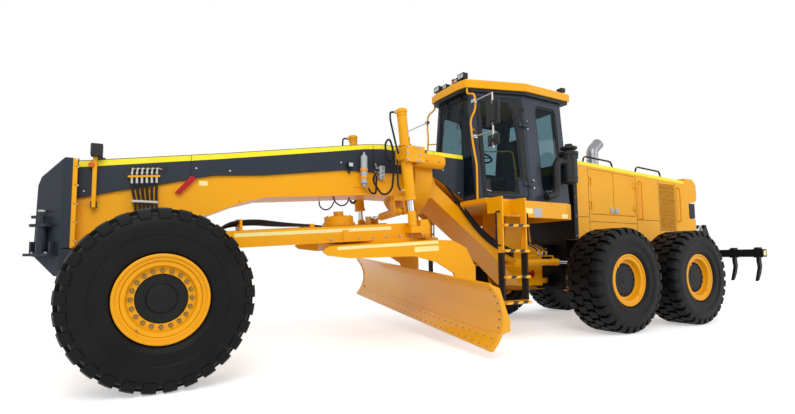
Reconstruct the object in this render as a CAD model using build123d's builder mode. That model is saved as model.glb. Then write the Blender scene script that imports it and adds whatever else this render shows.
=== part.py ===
from build123d import *
import os
from math import asin, cos, degrees, radians, sin, tan

# A six-wheel articulated motor grader, in millimetres.
# +X points forward, +Y to the machine's left and +Z up. The origin is on the
# ground, on the centre plane, under the middle of the tandem.

os.makedirs("parts", exist_ok=True)

# ---------------------------------------------------------------- clearances
slip = 0.4            # round fit of a pin, shaft or rod in its bore, on the radius
seat = 0.3            # gap between flat faces that carry each other
side_gap = 8          # running gap beside a moving lug, arm or door
# ---------------------------------------------------------------- wheels
tyre_radius = 820
tyre_width = 600
bead_radius = 362     # tyre bore, on the rim barrel
flange_radius = 400
rim_width = 500
rim_wall = 14
spindle_radius = 90
wheel_y = 1389        # tyre centre from the centre plane
front_axle_x = 7540
tandem_x = 973        # rear wheels stand this far ahead of and behind the origin
# ---------------------------------------------------------------- rear frame
rail_y = (300, 450)
rail_z = (1030, 1490)
rail_x = (-3000, 950)
hood_half = 650
hood_wall = 40
hood_front_x = 850
hood_tail_x = -2470
hood_top_front = 2900
hood_top_tail = 2770
hood_sill = rail_z[1]
case_y = (760, 1040)  # tandem chain case, inner and outer face
case_radius = 280
pivot_x = 1150        # articulation axis
tongue_thick = 90
tongue_z = (725, 1265)   # undersides of the lower and the upper tongue
pivot_pin_radius = 60
lug_radius = 150
# ---------------------------------------------------------------- front frame
beam_half = 300
cover_wall = 18
cover_half = beam_half + cover_wall + 12
nose_back_x = 8330
nose_flange = 90
nose_front_x = 8690
nose_half = 450
nose_top = 2240
nose_low = 1010
axle_x = (7400, 7680)  # rear and front face of the axle beam
lean_pivot_y = 860
lean_pivot_z = 600
lean_bar_z = 1120
lean_bar_thick = 50
kingpin_y = 1030
kingpin_radius = 30
# ---------------------------------------------------------------- cab
cab_floor = 2060
cab_top = 3900
cab_wall = 50
platform_z = (1800, cab_floor)
platform_deck = 60
roof_thick = 140
roof_skirt = 50
# corners of the cab's left side, front to rear: x, y
cab_foot = [(3070, 620), (2180, 880), (1300, 855)]
cab_head = [(3030, 430), (2127, 694), (1250, 669)]
# ---------------------------------------------------------------- drawbar group
ball_radius = 75
ball_at = (7000, 0, 1420)
drawbar_pitch = 4.2    # degrees the drawbar rises towards the rear
drawbar_roll = -3.5    # degrees about its own length: left side low
circle_back = 2500     # ball to circle centre, along the drawbar
circle_turn = -7.7     # degrees: the blade's left end stands forward
circle_radius = 900
circle_bore = 740
circle_top = -150
circle_thick = 100
arm_y = (905, 945)
blade_length = 4920
blade_chord = 770
blade_hollow = 180
blade_sheet = 30
blade_edge_x = -517    # cutting edge from the circle's axis
blade_low = -1392      # cutting edge below the drawbar's plane
blade_offset = -352    # side shift at rest
# ---------------------------------------------------------------- cylinders
lift_y = 790
saddle_x = (3860, 4160)
lift_trunnion = (saddle_x[1] + 320, 2590)
lift_lean = 6.0        # degrees from upright, foot to the rear
lift_bore = 80         # outer radius of the lift barrels, and of their upper tubes
lift_head = 68
lift_rod = 42


# ---------------------------------------------------------------- ripper
ripper_pivot = (-3120, 1120)
ripper_pin = 30
ripper_ear_y = ((330, 370), (460, 500))
ripper_foot = (-2960, 1560)
ripper_foot_pin = 25
ripper_y = 415         # cylinders from the centre plane
ripper_bore = 42       # outer radius of the barrels
ripper_rod = 26
tower_gap = ripper_bore + side_gap
ripper_foot_y = ((ripper_y - tower_gap - 25, ripper_y - tower_gap),
                 (ripper_y + tower_gap, ripper_y + tower_gap + 25))

# ================================================================ helpers
def mid(pair):
    """The middle of a (low, high) pair."""
    return (pair[0] + pair[1]) / 2


def block(x, y, z, mode=Mode.ADD):
    """A box from three (low, high) pairs, in the part being built."""
    with Locations((mid(x), mid(y), mid(z))):
        Box(x[1] - x[0], y[1] - y[0], z[1] - z[0], mode=mode)


def side_plate(outline, y, mode=Mode.ADD):
    """An outline of (x, z) points, made solid between two y stations."""
    with BuildSketch(Plane.XZ.offset(-y[1])) as face:
        with BuildLine():
            Polyline(*outline, close=True)
        make_face()
    extrude(face.sketch, amount=y[1] - y[0], mode=mode)


def front_plate(outline, x, mode=Mode.ADD):
    """An outline of (y, z) points, made solid between two x stations."""
    with BuildSketch(Plane.YZ.offset(x[0])) as face:
        with BuildLine():
            Polyline(*outline, close=True)
        make_face()
    extrude(face.sketch, amount=x[1] - x[0], mode=mode)


def plan_plate(outline, z, mode=Mode.ADD):
    """An outline of (x, y) points, made solid between two heights."""
    with BuildSketch(Plane.XY.offset(z[0])) as face:
        with BuildLine():
            Polyline(*outline, close=True)
        make_face()
    extrude(face.sketch, amount=z[1] - z[0], mode=mode)


def round_bar(start, end, radius, mode=Mode.ADD):
    """A cylinder from one point to another."""
    run = Vector(*end) - Vector(*start)
    with BuildSketch(Plane(origin=start, z_dir=run)) as face:
        Circle(radius)
    extrude(face.sketch, amount=run.length, mode=mode)


def bent_tube(points, bend, radius):
    """A round tube through points, with one bend radius at every corner."""
    with BuildLine() as route:
        FilletPolyline(*points, radius=bend)
    run = Vector(*points[1]) - Vector(*points[0])
    with BuildSketch(Plane(origin=points[0], z_dir=run)) as section:
        Circle(radius)
    sweep(section.sketch, path=route.line)


def across(side, near, far):
    """The (low, high) y pair of a stretch on the left, side 1, or the right, side -1."""
    return sorted((side * near, side * far))


def mirrored(outline):
    """A closed outline whose left half is given, completed to the right."""
    return outline + [(a, -b) for a, b in reversed(outline)]


def mirrored_section(points):
    """Half a wheel's section, across and radius, completed to its inner side."""
    return points + [(-a, r) for a, r in reversed(points)]


def save(piece, name, place=Location()):
    """Label a finished piece and write it, moved to its place if it has one."""
    part = (piece.part if isinstance(piece, BuildPart) else piece).moved(place)
    part.label = name
    export_step(part, f"parts/{name}.step")


# ================================================================ wheels
def wheel_plane(x, side):
    """The plane of a wheel's section: local x is outwards, local y is radial."""
    centre = (x, side * wheel_y, tyre_radius)
    return Plane(origin=centre, x_dir=(0, side, 0), z_dir=(side, 0, 0))


def wheel_axis(x, side):
    return Axis((x, side * wheel_y, tyre_radius), (0, 1, 0))


# The carcass has flat facets, one to each tread lug, so that the lugs sit flat on it.
half = tyre_width / 2
lug_count = 20
lug_turn = 360 / lug_count
lug_half = 72            # half a lug's length round the tyre
# at rest a gap is at the bottom, and the lugs' corners beside it are on the ground
gap_turn = lug_turn / 2 - degrees(asin(lug_half / tyre_radius))
corner_radius = tyre_radius / cos(radians(gap_turn))
lug_top = (corner_radius ** 2 - lug_half ** 2) ** 0.5
carcass_radius = tyre_radius - 45
facet = 1 / cos(radians(lug_turn / 2))
# half section of the carcass from the bead to the crown: across, radius to a facet's middle
carcass_half = [
    (rim_width / 2 - 25, bead_radius + slip), (rim_width / 2 - 25, flange_radius + 4),
    (half, 600), (half - 65, carcass_radius),
]
lug_section = mirrored_section([(half - 8, 715), (half - 70, lug_top)])


def tyre_sector():
    """One facet of the carcass with its lug, at the top of a tyre centred on the origin."""
    with BuildPart() as sector:
        for edge in (-0.5, 0.5):
            angle = radians(lug_turn * edge)
            with BuildSketch(Plane(origin=(0, 0, 0), x_dir=(0, 1, 0),
                                   z_dir=(cos(angle), 0, -sin(angle)))):
                with BuildLine():
                    Polyline(*[(a, r * facet) for a, r in mirrored_section(carcass_half)],
                             close=True)
                make_face()
        loft(ruled=True)
        with BuildSketch(Plane.YZ.offset(-lug_half)) as lug:
            with BuildLine():
                Polyline(*lug_section, close=True)
            make_face()
        extrude(lug.sketch, amount=2 * lug_half)
    return sector.part.solid()


sector = tyre_sector()
sectors = [sector.moved(Location((0, 0, 0), (0, lug_turn * (step + 0.5), 0)))
           for step in range(lug_count)]
tyre_solid = sectors[0].fuse(*sectors[1:])


# Outer half of each rim: across, radius. The hub's blind bore opens inwards.
front_rim_face = [
    (250, flange_radius), (250, 384), (240, 374), (234, 350), (165, 345), (150, 338),
    (150, 284), (60, 276), (60, 132), (78, 128), (78, 0),
]
rear_rim_face = [
    (250, flange_radius), (250, 384), (240, 372), (234, 318), (-10, 268), (-10, 62),
    (0, 58), (0, 0),
]
hub_mouth = {"front": -62, "rear": -130}
hub_floor = {"front": 20, "rear": -60}


def make_rim(x, side, kind):
    """Barrel with both flanges, the dished disc and the hub with its bore."""
    mouth = hub_mouth[kind]
    floor = hub_floor[kind]
    face = front_rim_face if kind == "front" else rear_rim_face
    disc_back = 30 if kind == "front" else -40
    barrel = bead_radius - rim_wall
    bore = spindle_radius + slip
    back = [
        (floor, 0), (floor, bore), (mouth, bore), (mouth, 170), (disc_back, 190),
        (disc_back, barrel - 20), (disc_back - 40, barrel), (-250, barrel),
        (-250, flange_radius), (-226, flange_radius), (-226, bead_radius),
        (226, bead_radius), (226, flange_radius),
    ]
    if kind == "rear":
        back[5:7] = [(disc_back, 290), (disc_back - 60, barrel)]
    with BuildPart() as rim:
        with BuildSketch(wheel_plane(x, side)) as profile:
            with BuildLine():
                Polyline(*face, *back, close=True)
            make_face()
        revolve(axis=wheel_axis(x, side))
    return rim


# name, station along the machine, kind of rim
wheel_rows = [
    ("front", front_axle_x, "front"),
    ("middle", tandem_x, "rear"),
    ("rear", -tandem_x, "rear"),
]
sides = [("left", 1), ("right", -1)]

for row, station, kind in wheel_rows:
    for hand, side in sides:
        tyre = Part(tyre_solid.moved(Location((station, side * wheel_y, tyre_radius))).wrapped)
        save(tyre, f"tyre_{row}_{hand}")
        save(make_rim(station, side, kind), f"rim_{row}_{hand}")


# ================================================================ rear frame
upper_tongue = (tongue_z[1], tongue_z[1] + tongue_thick)
lower_tongue = (tongue_z[0], tongue_z[0] + tongue_thick)
fork_thick = 60
fork_gap = 6

with BuildPart() as rear_chassis:
    for side in (1, -1):
        block(rail_x, across(side, rail_y[0], rail_y[1]), rail_z)
    block((500, 820), (-700, 700), (1030, 1480))            # front cross box
    block((800, hood_front_x + 70), (-300, 300), (600, 1480))  # fork root
    for low, high in (lower_tongue, upper_tongue):
        for z in ((high + fork_gap, high + fork_gap + fork_thick),
                  (low - fork_gap - fork_thick, low - fork_gap)):
            block((870, pivot_x), (-lug_radius, lug_radius), z)
            with Locations((pivot_x, 0, mid(z))):
                Cylinder(lug_radius, fork_thick)
        round_bar((pivot_x, 0, low - 80), (pivot_x, 0, high + 80), pivot_pin_radius)
    for side in (1, -1):
        # ears for the articulation rods
        for z in ((1135, 1165), (1035, 1065)):
            block((810, 1010), across(side, 480, 620), z)
    block((-2200, -1900), (-300, 300), (1100, 1400))        # rear cross member
    block((-3060, -3000), (-620, 620), (1030, 1480))        # tail plate
    for side in (1, -1):
        # ripper hinge: two ears and their pin
        for ear in ripper_ear_y:
            block((ripper_pivot[0] - 60, -3060), across(side, *ear),
                  (ripper_pivot[1] - 80, ripper_pivot[1] + 80))
        round_bar((ripper_pivot[0], side * ripper_ear_y[0][0], ripper_pivot[1]),
                  (ripper_pivot[0], side * ripper_ear_y[1][1], ripper_pivot[1]), ripper_pin)
        # feet of the ripper cylinders, with their pins
        for ear in ripper_foot_y:
            side_plate([(-3060, 1300), (-2890, 1300), (-2890, 1590), (-2930, 1620),
                        (-2990, 1620), (-3060, 1480)], across(side, *ear))
        round_bar((ripper_foot[0], side * ripper_foot_y[0][0], ripper_foot[1]),
                  (ripper_foot[0], side * ripper_foot_y[1][1], ripper_foot[1]), ripper_foot_pin)
save(rear_chassis, "rear_chassis")

with BuildPart() as tandem_cases:
    for side in (1, -1):
        inner, outer = side * case_y[0], side * case_y[1]
        y = sorted((inner, outer))
        block((-tandem_x, tandem_x), y, (tyre_radius - case_radius, tyre_radius + case_radius))
        for x in (-tandem_x, tandem_x):
            round_bar((x, inner, tyre_radius), (x, outer, tyre_radius), case_radius)
            shaft_end = side * (wheel_y + hub_floor["rear"] - 1)
            round_bar((x, outer, tyre_radius), (x, shaft_end, tyre_radius), spindle_radius)
            flange_end = side * (case_y[1] + 60)
            round_bar((x, outer, tyre_radius), (x, flange_end, tyre_radius), 150)
        round_bar((0, 0, tyre_radius), (0, inner, tyre_radius), 200)
        pad_y = across(side, rail_y[0], rail_y[1])
        block((-160, 160), pad_y, (tyre_radius, rail_z[0]))
    with Locations((0, 0, tyre_radius)):
        Sphere(290)
    block((-300, 300), (-300, 300), (rail_z[0], rail_z[0] + 200), mode=Mode.SUBTRACT)
save(tandem_cases, "tandem_cases")

hood_slope = (hood_top_front - hood_top_tail) / (hood_front_x - hood_tail_x)


def hood_top_at(x):
    return hood_top_tail + (x - hood_tail_x) * hood_slope


tail_outline = [
    (hood_tail_x, hood_top_tail), (hood_tail_x - 20, 2830), (-2800, 2830), (-2920, 2710),
    (-2920, 2400), (-2850, 2340), (-2640, 2320), (-2640, 1980), (-2850, 1980),
    (-2850, hood_sill),
]
hood_outline = [(hood_front_x, hood_sill), (hood_front_x, hood_top_front)] + tail_outline
hood_inside = [
    (hood_front_x - hood_wall, hood_sill - 10),
    (hood_front_x - hood_wall, hood_top_at(hood_front_x) - hood_wall - 5),
    (hood_tail_x, hood_top_tail - hood_wall),
    (-2600, hood_top_tail - hood_wall),
    (-2600, hood_sill - 10),
]
# service door leaves: name, hinge x, free edge x
door_leaves = [("front", 480, -142), ("rear", -780, -158)]
door_foot = 1960
door_head_drop = 110     # door's top edge below the hood's top
grille_x = (-2110, -1590)
grille_z = (1700, 2660)
grille_deep = 16
slat_count = 12
# upright grab bars: x, foot, head
grab_bars = ((-930, 1900, 2660), (-2210, 1900, 2620))
hood_hinge_z = (door_foot + 120, door_foot + 560)
hinge_out = 12           # hinge axis outside the hood's face, and the knuckle's radius
hinge_long = 90
hinge_pin = 6


def leaf_outline(hinge_x, free_x, grow):
    low, high = sorted((hinge_x, free_x))
    low, high = low - grow, high + grow
    return [
        (low, door_foot - grow), (high, door_foot - grow),
        (high, hood_top_at(high) - door_head_drop + grow),
        (low, hood_top_at(low) - door_head_drop + grow),
    ]


with BuildPart() as engine_hood:
    side_plate(hood_outline, (-hood_half, hood_half))
    side_plate(hood_inside, (hood_wall - hood_half, hood_half - hood_wall), mode=Mode.SUBTRACT)
    opening = leaf_outline(door_leaves[0][1], door_leaves[1][1], side_gap)
    side_plate(opening, (-hood_half - 5, hood_half + 5), mode=Mode.SUBTRACT)
    block((hood_front_x, hood_front_x + 90), (-hood_half, hood_half), (hood_sill, 2700))
    # top hand rails: start and end x
    for start, end in ((610, -220), (-910, -1740)):
        for side in (1, -1):
            y = side * (hood_half - 50)
            foot = hood_top_at(start) - 10
            tail = hood_top_at(end) - 10
            bent_tube([(start, y, foot), (start - 40, y, foot + 130),
                       (end + 40, y, tail + 130), (end, y, tail)], 35, 14)
    for side in (1, -1):
        # radiator grille: a shallow recess with slats
        recess = across(side, hood_half - grille_deep, hood_half + 1)
        block(grille_x, recess, grille_z, mode=Mode.SUBTRACT)
        for step in range(1, slat_count):
            z = grille_z[0] + (grille_z[1] - grille_z[0]) * step / slat_count
            block((grille_x[0] - 1, grille_x[1] + 1),
                  across(side, hood_half - grille_deep - 1, hood_half - 2), (z - 9, z + 9))
        # upright grab bars
        for x, low, high in grab_bars:
            out = side * (hood_half + 62)
            bent_tube([(x, side * (hood_half - 6), low), (x, out, low + 30), (x, out, high - 30),
                       (x, side * (hood_half - 6), high)], 30, 15)
    # hinge lugs and pins of the service doors, outside the hood's face
    for side in (1, -1):
        for leaf, hinge_x, free_x in door_leaves:
            inward = -1 if hinge_x > free_x else 1
            axis_x, axis_y = hinge_x - inward * 2, side * (hood_half + hinge_out)
            for z in hood_hinge_z:
                round_bar((axis_x, axis_y, z - 15), (axis_x, axis_y, z + hinge_long + 15), hinge_pin)
                for low, high in ((z - 20, z - seat), (z + hinge_long + seat, z + hinge_long + 20)):
                    round_bar((axis_x, axis_y, low), (axis_x, axis_y, high), hinge_out)
                    block(sorted((axis_x, axis_x - inward * 60)),
                          across(side, hood_half - 1, hood_half + hinge_out), (low, high))
save(engine_hood, "engine_hood")

for hand, side in sides:
    for leaf, hinge_x, free_x in door_leaves:
        inward = -1 if hinge_x > free_x else 1
        axis_x, axis_y = hinge_x - inward * 2, side * (hood_half + hinge_out)
        with BuildPart() as hood_door:
            side_plate(leaf_outline(hinge_x, free_x, 0),
                       across(side, hood_half - hood_wall + 5, hood_half))
            for z in hood_hinge_z:
                round_bar((axis_x, axis_y, z), (axis_x, axis_y, z + hinge_long), hinge_out)
                block(sorted((axis_x, axis_x + inward * 60)),
                      across(side, hood_half - 1, hood_half + hinge_out), (z, z + hinge_long))
                round_bar((axis_x, axis_y, z - 1), (axis_x, axis_y, z + hinge_long + 1),
                          hinge_pin + slip, mode=Mode.SUBTRACT)
            grip_x = free_x - inward * 70
            block((grip_x - 25, grip_x + 25),
                  across(side, hood_half - 1, hood_half + 14), (2010, 2080))
        save(hood_door, f"hood_door_{leaf}_{hand}")

with BuildPart() as engine_block:
    block((-1850, 450), (-280, 280), (1200, 2350))
    block((-1850, 450), (-420, 420), (rail_z[1], 2300))
    block((-2300, -2250), (-520, 520), (rail_z[1], 2450))
    block((-2250, -1850), (-150, 150), (rail_z[1] + 100, 2000))
    block((-1900, -1850), (-300, 300), (1090, 1410), mode=Mode.SUBTRACT)
save(engine_block, "engine_block")

stack_x, stack_y = -460, 0
stack_knee, stack_reach, stack_rise = 500, 190, 160     # height, then the outlet's run back and up
with BuildPart() as exhaust_stack:
    foot = hood_top_at(stack_x)
    with BuildLine() as stack_route:
        FilletPolyline((stack_x, stack_y, foot + 20), (stack_x, stack_y, foot + stack_knee),
                       (stack_x - stack_reach, stack_y, foot + stack_knee + stack_rise), radius=150)
    with BuildSketch(Plane.XY.offset(foot + 20).shift_origin((stack_x, stack_y, foot + 20))) as ring:
        Circle(110)
    sweep(ring.sketch, path=stack_route.line)
    block((stack_x - 170, stack_x + 170), (stack_y - 170, stack_y + 170), (foot - 8, foot + 30))
    side_plate([(stack_x - 200, hood_top_at(stack_x - 200) - 60),
                (stack_x + 200, hood_top_at(stack_x + 200) - 60),
                (stack_x + 200, hood_top_at(stack_x + 200)),
                (stack_x - 200, hood_top_at(stack_x - 200))], (-200, 200), mode=Mode.SUBTRACT)
save(exhaust_stack, "exhaust_stack")

# ================================================================ ripper
ripper_beam_x = (-3890, -3730)
ripper_beam_z = (1170, 1330)
ripper_half = 1450
shank_pitch = 445
shank_count = 7
shank_tip = 670
tower_top = (-3500, 1850)
tower_plate = 20

with BuildPart() as ripper_frame:
    block(ripper_beam_x, (-ripper_half, ripper_half), ripper_beam_z)
    for side in (1, -1):
        arm_y_pair = across(side, ripper_ear_y[0][1] + seat, ripper_ear_y[1][0] - seat)
        side_plate([(ripper_pivot[0], ripper_pivot[1] - 50), (ripper_pivot[0], ripper_pivot[1] + 50),
                    (ripper_beam_x[1], ripper_beam_z[1]), (ripper_beam_x[1], ripper_beam_z[0])],
                   arm_y_pair)
        round_bar((ripper_pivot[0], arm_y_pair[0], ripper_pivot[1]),
                  (ripper_pivot[0], arm_y_pair[1], ripper_pivot[1]), 50)
        round_bar((ripper_pivot[0], arm_y_pair[0] - 1, ripper_pivot[1]),
                  (ripper_pivot[0], arm_y_pair[1] + 1, ripper_pivot[1]), ripper_pin + slip,
                  mode=Mode.SUBTRACT)
        # tower: two plates with a boss each outside, open between them for the rod's eye
        for wall in (-1, 1):
            near = ripper_y + wall * tower_gap
            pair = across(side, near, near + wall * tower_plate)
            side_plate([(-3420, 1250), (ripper_beam_x[1] - 10, 1320), (-3840, 1320),
                        (tower_top[0] - 60, tower_top[1] + 40),
                        (tower_top[0] + 60, tower_top[1] + 40)], pair)
            boss = side * (near + wall * (tower_plate + 12))
            round_bar((tower_top[0], side * (near + wall * 2), tower_top[1]),
                      (tower_top[0], boss, tower_top[1]), 40)
    for i in range(shank_count):
        y = (i - (shank_count - 1) / 2) * shank_pitch
        side_plate([(-3850, 1360), (-3770, 1360), (-3760, 1100), (-3790, 960),
                    (-3720, 800), (-3660, shank_tip), (-3720, shank_tip + 20),
                    (-3830, 840), (-3880, 980), (-3860, 1120)], (y - 25, y + 25))
        block((-3870, -3750), (y - 45, y + 45), (1330, 1370))
save(ripper_frame, "ripper_frame")

ripper_run = Vector(tower_top[0] - ripper_foot[0], 0, tower_top[1] - ripper_foot[1])
ripper_dir = ripper_run.normalized()
ripper_barrel_length = 330


def ripper_point(along, y):
    return (ripper_foot[0] + ripper_dir.X * along, y, ripper_foot[1] + ripper_dir.Z * along)


with BuildPart() as ripper_barrels:
    for side in (1, -1):
        y = side * ripper_y
        round_bar(ripper_point(0, y), ripper_point(ripper_barrel_length, y), ripper_bore)
        round_bar((ripper_foot[0], y - 42, ripper_foot[1]),
                  (ripper_foot[0], y + 42, ripper_foot[1]), 50)
        round_bar(ripper_point(90, y), ripper_point(ripper_barrel_length + 1, y),
                  ripper_rod + slip, mode=Mode.SUBTRACT)
        round_bar((ripper_foot[0], y - 43, ripper_foot[1]),
                  (ripper_foot[0], y + 43, ripper_foot[1]), ripper_foot_pin + slip,
                  mode=Mode.SUBTRACT)
save(ripper_barrels, "ripper_barrels")

with BuildPart() as ripper_rods:
    for side in (1, -1):
        y = side * ripper_y
        round_bar(ripper_point(200, y), ripper_point(ripper_run.length - 30, y), ripper_rod)
        round_bar((tower_top[0], y - 34, tower_top[1]), (tower_top[0], y + 34, tower_top[1]), 42)
save(ripper_rods, "ripper_rods")

# ================================================================ front frame
# Top of the beam, nose to cab, and its underside, cab to nose: x, z
beam_top = [(nose_back_x, 2222), (6810, 2462), (4870, 2792), (4600, 2822), (3110, 2812)]
gooseneck = [
    (3100, 2100), (3680, 2420), (3640, 2316), (2450, 1400), (2260, 1400), (2180, 2000),
    (1720, 2000), (1640, 1420), (1400, 1380), (1400, 700), (1900, 700), (2480, 1180),
    (3730, 2110), (3760, 2090),
]
beam_low = [
    (4700, 2090), (5210, 2050), (6300, 1960), (6610, 1870), (6930, 1730), (7200, 1640),
    (7250, 1310), (nose_back_x, 1310),
]
bolster_y = (-240, 240)
axle_pin_z = 960
axle_pin_radius = 60
joint_eye = (2270, 550, 1100)    # front eye of the articulation cylinder
joint_ear_z = ((1040, 1070), (1130, 1160))

with BuildPart() as main_frame:
    side_plate(beam_top + gooseneck + beam_low, (-beam_half, beam_half))
    block((nose_back_x - 1, nose_back_x + nose_flange), (-nose_half, nose_half),
          (1300, nose_top))
    # bottom flange of the beam
    for (x1, z1), (x2, z2) in zip(beam_low[:3], beam_low[1:4]):
        side_plate([(x1, z1), (x2, z2), (x2, z2 + 30), (x1, z1 + 30)],
                   (-beam_half - 25, beam_half + 25))
    # tongues of the articulation joint
    for low, high in (lower_tongue, upper_tongue):
        block((pivot_x, 1420), (-lug_radius + 10, lug_radius - 10), (low, high))
        with Locations((pivot_x, 0, mid((low, high)))):
            Cylinder(lug_radius - 10, high - low)
            Cylinder(pivot_pin_radius + slip, high - low + 2, mode=Mode.SUBTRACT)
    for side in (1, -1):
        for z in joint_ear_z:
            block((2200, 2345), across(side, 290, 620), z)
        eye = (joint_eye[0], side * joint_eye[1])
        round_bar((*eye, joint_ear_z[0][0]), (*eye, joint_ear_z[1][1]), 30)
    # bolster plates that hold the axle's pin
    for x in ((7300, 7390), (7688, 7735)):
        block(x, bolster_y, (880, 1320))
    round_bar((7290, 0, axle_pin_z), (7740, 0, axle_pin_z), axle_pin_radius + slip,
              mode=Mode.SUBTRACT)
    # socket of the drawbar's ball
    block((ball_at[0] + 5, 7300), (-115, 115), (1320, 1530))
    with Locations(Location(ball_at, (0, 90, 0))):
        Sphere(ball_radius + slip, mode=Mode.SUBTRACT)
save(main_frame, "main_frame")

nose_side = [
    (8420, nose_top), (8640, 2050), (8672, 1960), (8690, 1220), (8480, nose_low),
    (8345, nose_low), (8345, 1290), (8420, 1290),
]
nose_plan = mirrored([(8300, nose_half), (8440, nose_half), (nose_front_x, 190)])
hitch_z = (1215, 1545)

with BuildPart() as nose_weight:
    side_plate(nose_side, (-nose_half, nose_half))
    plan_plate(nose_plan, (nose_low - 10, nose_top + 10), mode=Mode.INTERSECT)
    for side in (1, -1):
        # corner hitch: its shelf, gussets, pin boss and keeper
        face = Location((nose_front_x - 115, side * (nose_half - 138), 0), (0, 0, side * 46))
        with Locations(face):
            block((-60, 105), (-165, 165), (hitch_z[0], hitch_z[0] + 28))
            block((-60, 95), (-110, 110), (hitch_z[1] - 30, hitch_z[1]))
            for y in (-140, 116):
                block((-60, 60), (y, y + 24), (hitch_z[0] + 28, hitch_z[0] + 150))
            with Locations((45, 0, mid(hitch_z))):
                Cylinder(48, hitch_z[1] - hitch_z[0] - 40)
            with Locations((45, 0, hitch_z[1] + 40)):
                Cylinder(28, 90)
            block((30, 62), (-130, 30), (hitch_z[1] + 60, hitch_z[1] + 90))
save(nose_weight, "nose_weight")

cover_lower = [
    (3120, 2110), (3710, 2445), (5230, 2400), (6320, 2240), (6910, 2190), (7090, 2150),
    (7540, 2030), (7850, 1960), (8325, 1830),
]
cover_rise = 15


def raised(outline, rise):
    return [(x, z + rise) for x, z in outline]


with BuildPart() as beam_cover:
    side_plate(cover_lower + raised(beam_top, cover_rise), (-cover_half, cover_half))
    side_plate([(3000, beam_top[-1][1]), (3000, 1500), (nose_back_x, 1500)] + beam_top,
               (cover_wall - cover_half, cover_half - cover_wall), mode=Mode.SUBTRACT)
    block((nose_back_x - 5, nose_back_x + 10), (-400, 400), (1500, 2400), mode=Mode.SUBTRACT)
save(beam_cover, "beam_cover")

with BuildPart() as front_axle:
    front_plate([(795, 520), (795, 690), (300, 900), (190, 1050), (-190, 1050),
                 (-300, 900), (-795, 690), (-795, 520), (-450, 520), (-250, 720),
                 (250, 720), (450, 520)], axle_x)
    round_bar((7302, 0, axle_pin_z), (7734, 0, axle_pin_z), axle_pin_radius)
    for side in (1, -1):
        lug = (7480, 7600)
        block(lug, across(side, 780, lean_pivot_y), (550, 650))
        round_bar((lug[0], side * lean_pivot_y, lean_pivot_z),
                  (lug[1], side * lean_pivot_y, lean_pivot_z), 50)
        round_bar((7404, side * lean_pivot_y, lean_pivot_z),
                  (7676, side * lean_pivot_y, lean_pivot_z), 35)
save(front_axle, "front_axle")

web_y = (915, 955)
kingpin_arms = ((tyre_radius - 180, tyre_radius - 120), (tyre_radius + 120, tyre_radius + 180))
web_top = kingpin_arms[1][1] + 60
bar_half = lean_bar_thick / 2
bar_ears = ((front_axle_x - bar_half - 60, front_axle_x - bar_half - 6),
            (front_axle_x + bar_half + 6, front_axle_x + bar_half + 60))

for hand, side in sides:
    with BuildPart() as lean_bracket:
        block((7424, 7656), across(side, *web_y), (550, web_top))
        for x in ((7404, 7472), (7608, 7676)):
            block(x, across(side, lean_pivot_y, web_y[1]), (550, 650))
            round_bar((x[0], side * lean_pivot_y, lean_pivot_z),
                      (x[1], side * lean_pivot_y, lean_pivot_z), 50)
            round_bar((x[0] - 1, side * lean_pivot_y, lean_pivot_z),
                      (x[1] + 1, side * lean_pivot_y, lean_pivot_z), 35 + slip,
                      mode=Mode.SUBTRACT)
        for z in kingpin_arms:
            block((front_axle_x - 50, front_axle_x + 50), across(side, web_y[1] - 5, kingpin_y), z)
            with Locations((front_axle_x, side * kingpin_y, mid(z))):
                Cylinder(50, z[1] - z[0])
        round_bar((front_axle_x, side * kingpin_y, kingpin_arms[0][0]),
                  (front_axle_x, side * kingpin_y, kingpin_arms[1][1]), kingpin_radius)
        # fork and pin of the lean bar
        block((bar_ears[0][0], bar_ears[1][1]), across(side, *web_y), (web_top - 5, lean_bar_z + 40))
        for x in bar_ears:
            block(x, across(side, lean_pivot_y, web_y[1]), (lean_bar_z - 40, lean_bar_z + 40))
            round_bar((x[0], side * lean_pivot_y, lean_bar_z),
                      (x[1], side * lean_pivot_y, lean_bar_z), 40)
        round_bar((bar_ears[0][0], side * lean_pivot_y, lean_bar_z),
                  (bar_ears[1][1], side * lean_pivot_y, lean_bar_z), 25)
    save(lean_bracket, f"lean_bracket_{hand}")

    with BuildPart() as knuckle:
        with Locations((front_axle_x, side * kingpin_y, tyre_radius)):
            Cylinder(62, 224)
        round_bar((front_axle_x, side * kingpin_y, tyre_radius),
                  (front_axle_x, side * (wheel_y + hub_floor["front"] - 1), tyre_radius),
                  spindle_radius)
        round_bar((front_axle_x, side * (kingpin_y + 70), tyre_radius),
                  (front_axle_x, side * (wheel_y + hub_mouth["front"] - 12), tyre_radius), 150)
        with Locations((front_axle_x, side * kingpin_y, tyre_radius)):
            Cylinder(kingpin_radius + slip, 300, mode=Mode.SUBTRACT)
    save(knuckle, f"knuckle_{hand}")

with BuildPart() as lean_bar:
    bar_x = (front_axle_x - bar_half, front_axle_x + bar_half)
    block(bar_x, (-lean_pivot_y, lean_pivot_y), (lean_bar_z - 20, lean_bar_z + 20))
    for side in (1, -1):
        eye = (side * lean_pivot_y, lean_bar_z)
        round_bar((bar_x[0], *eye), (bar_x[1], *eye), 42)
        round_bar((bar_x[0] - 1, *eye), (bar_x[1] + 1, *eye), 25 + slip, mode=Mode.SUBTRACT)
save(lean_bar, "lean_bar")

# ================================================================ places of the drawbar group
drawbar_place = Location(ball_at) * Rotation(0, drawbar_pitch, 0) * Rotation(drawbar_roll, 0, 0)
circle_place = (drawbar_place * Location((-circle_back, 0, 0))
                * Rotation(0, 0, circle_turn))

# side shift cylinder: its rod's eye in the drawbar's frame, its ball under the saddle
shift_eye = (-2700, -555, 160)
shift_root = Vector(saddle_x[1] + 160, 300, 1867)
shift_tip = (drawbar_place * Location(shift_eye)).position
shift_dir = (shift_tip - shift_root).normalized()
shift_ball = 64
shift_pin = 26
shift_rod_radius = 30
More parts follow.
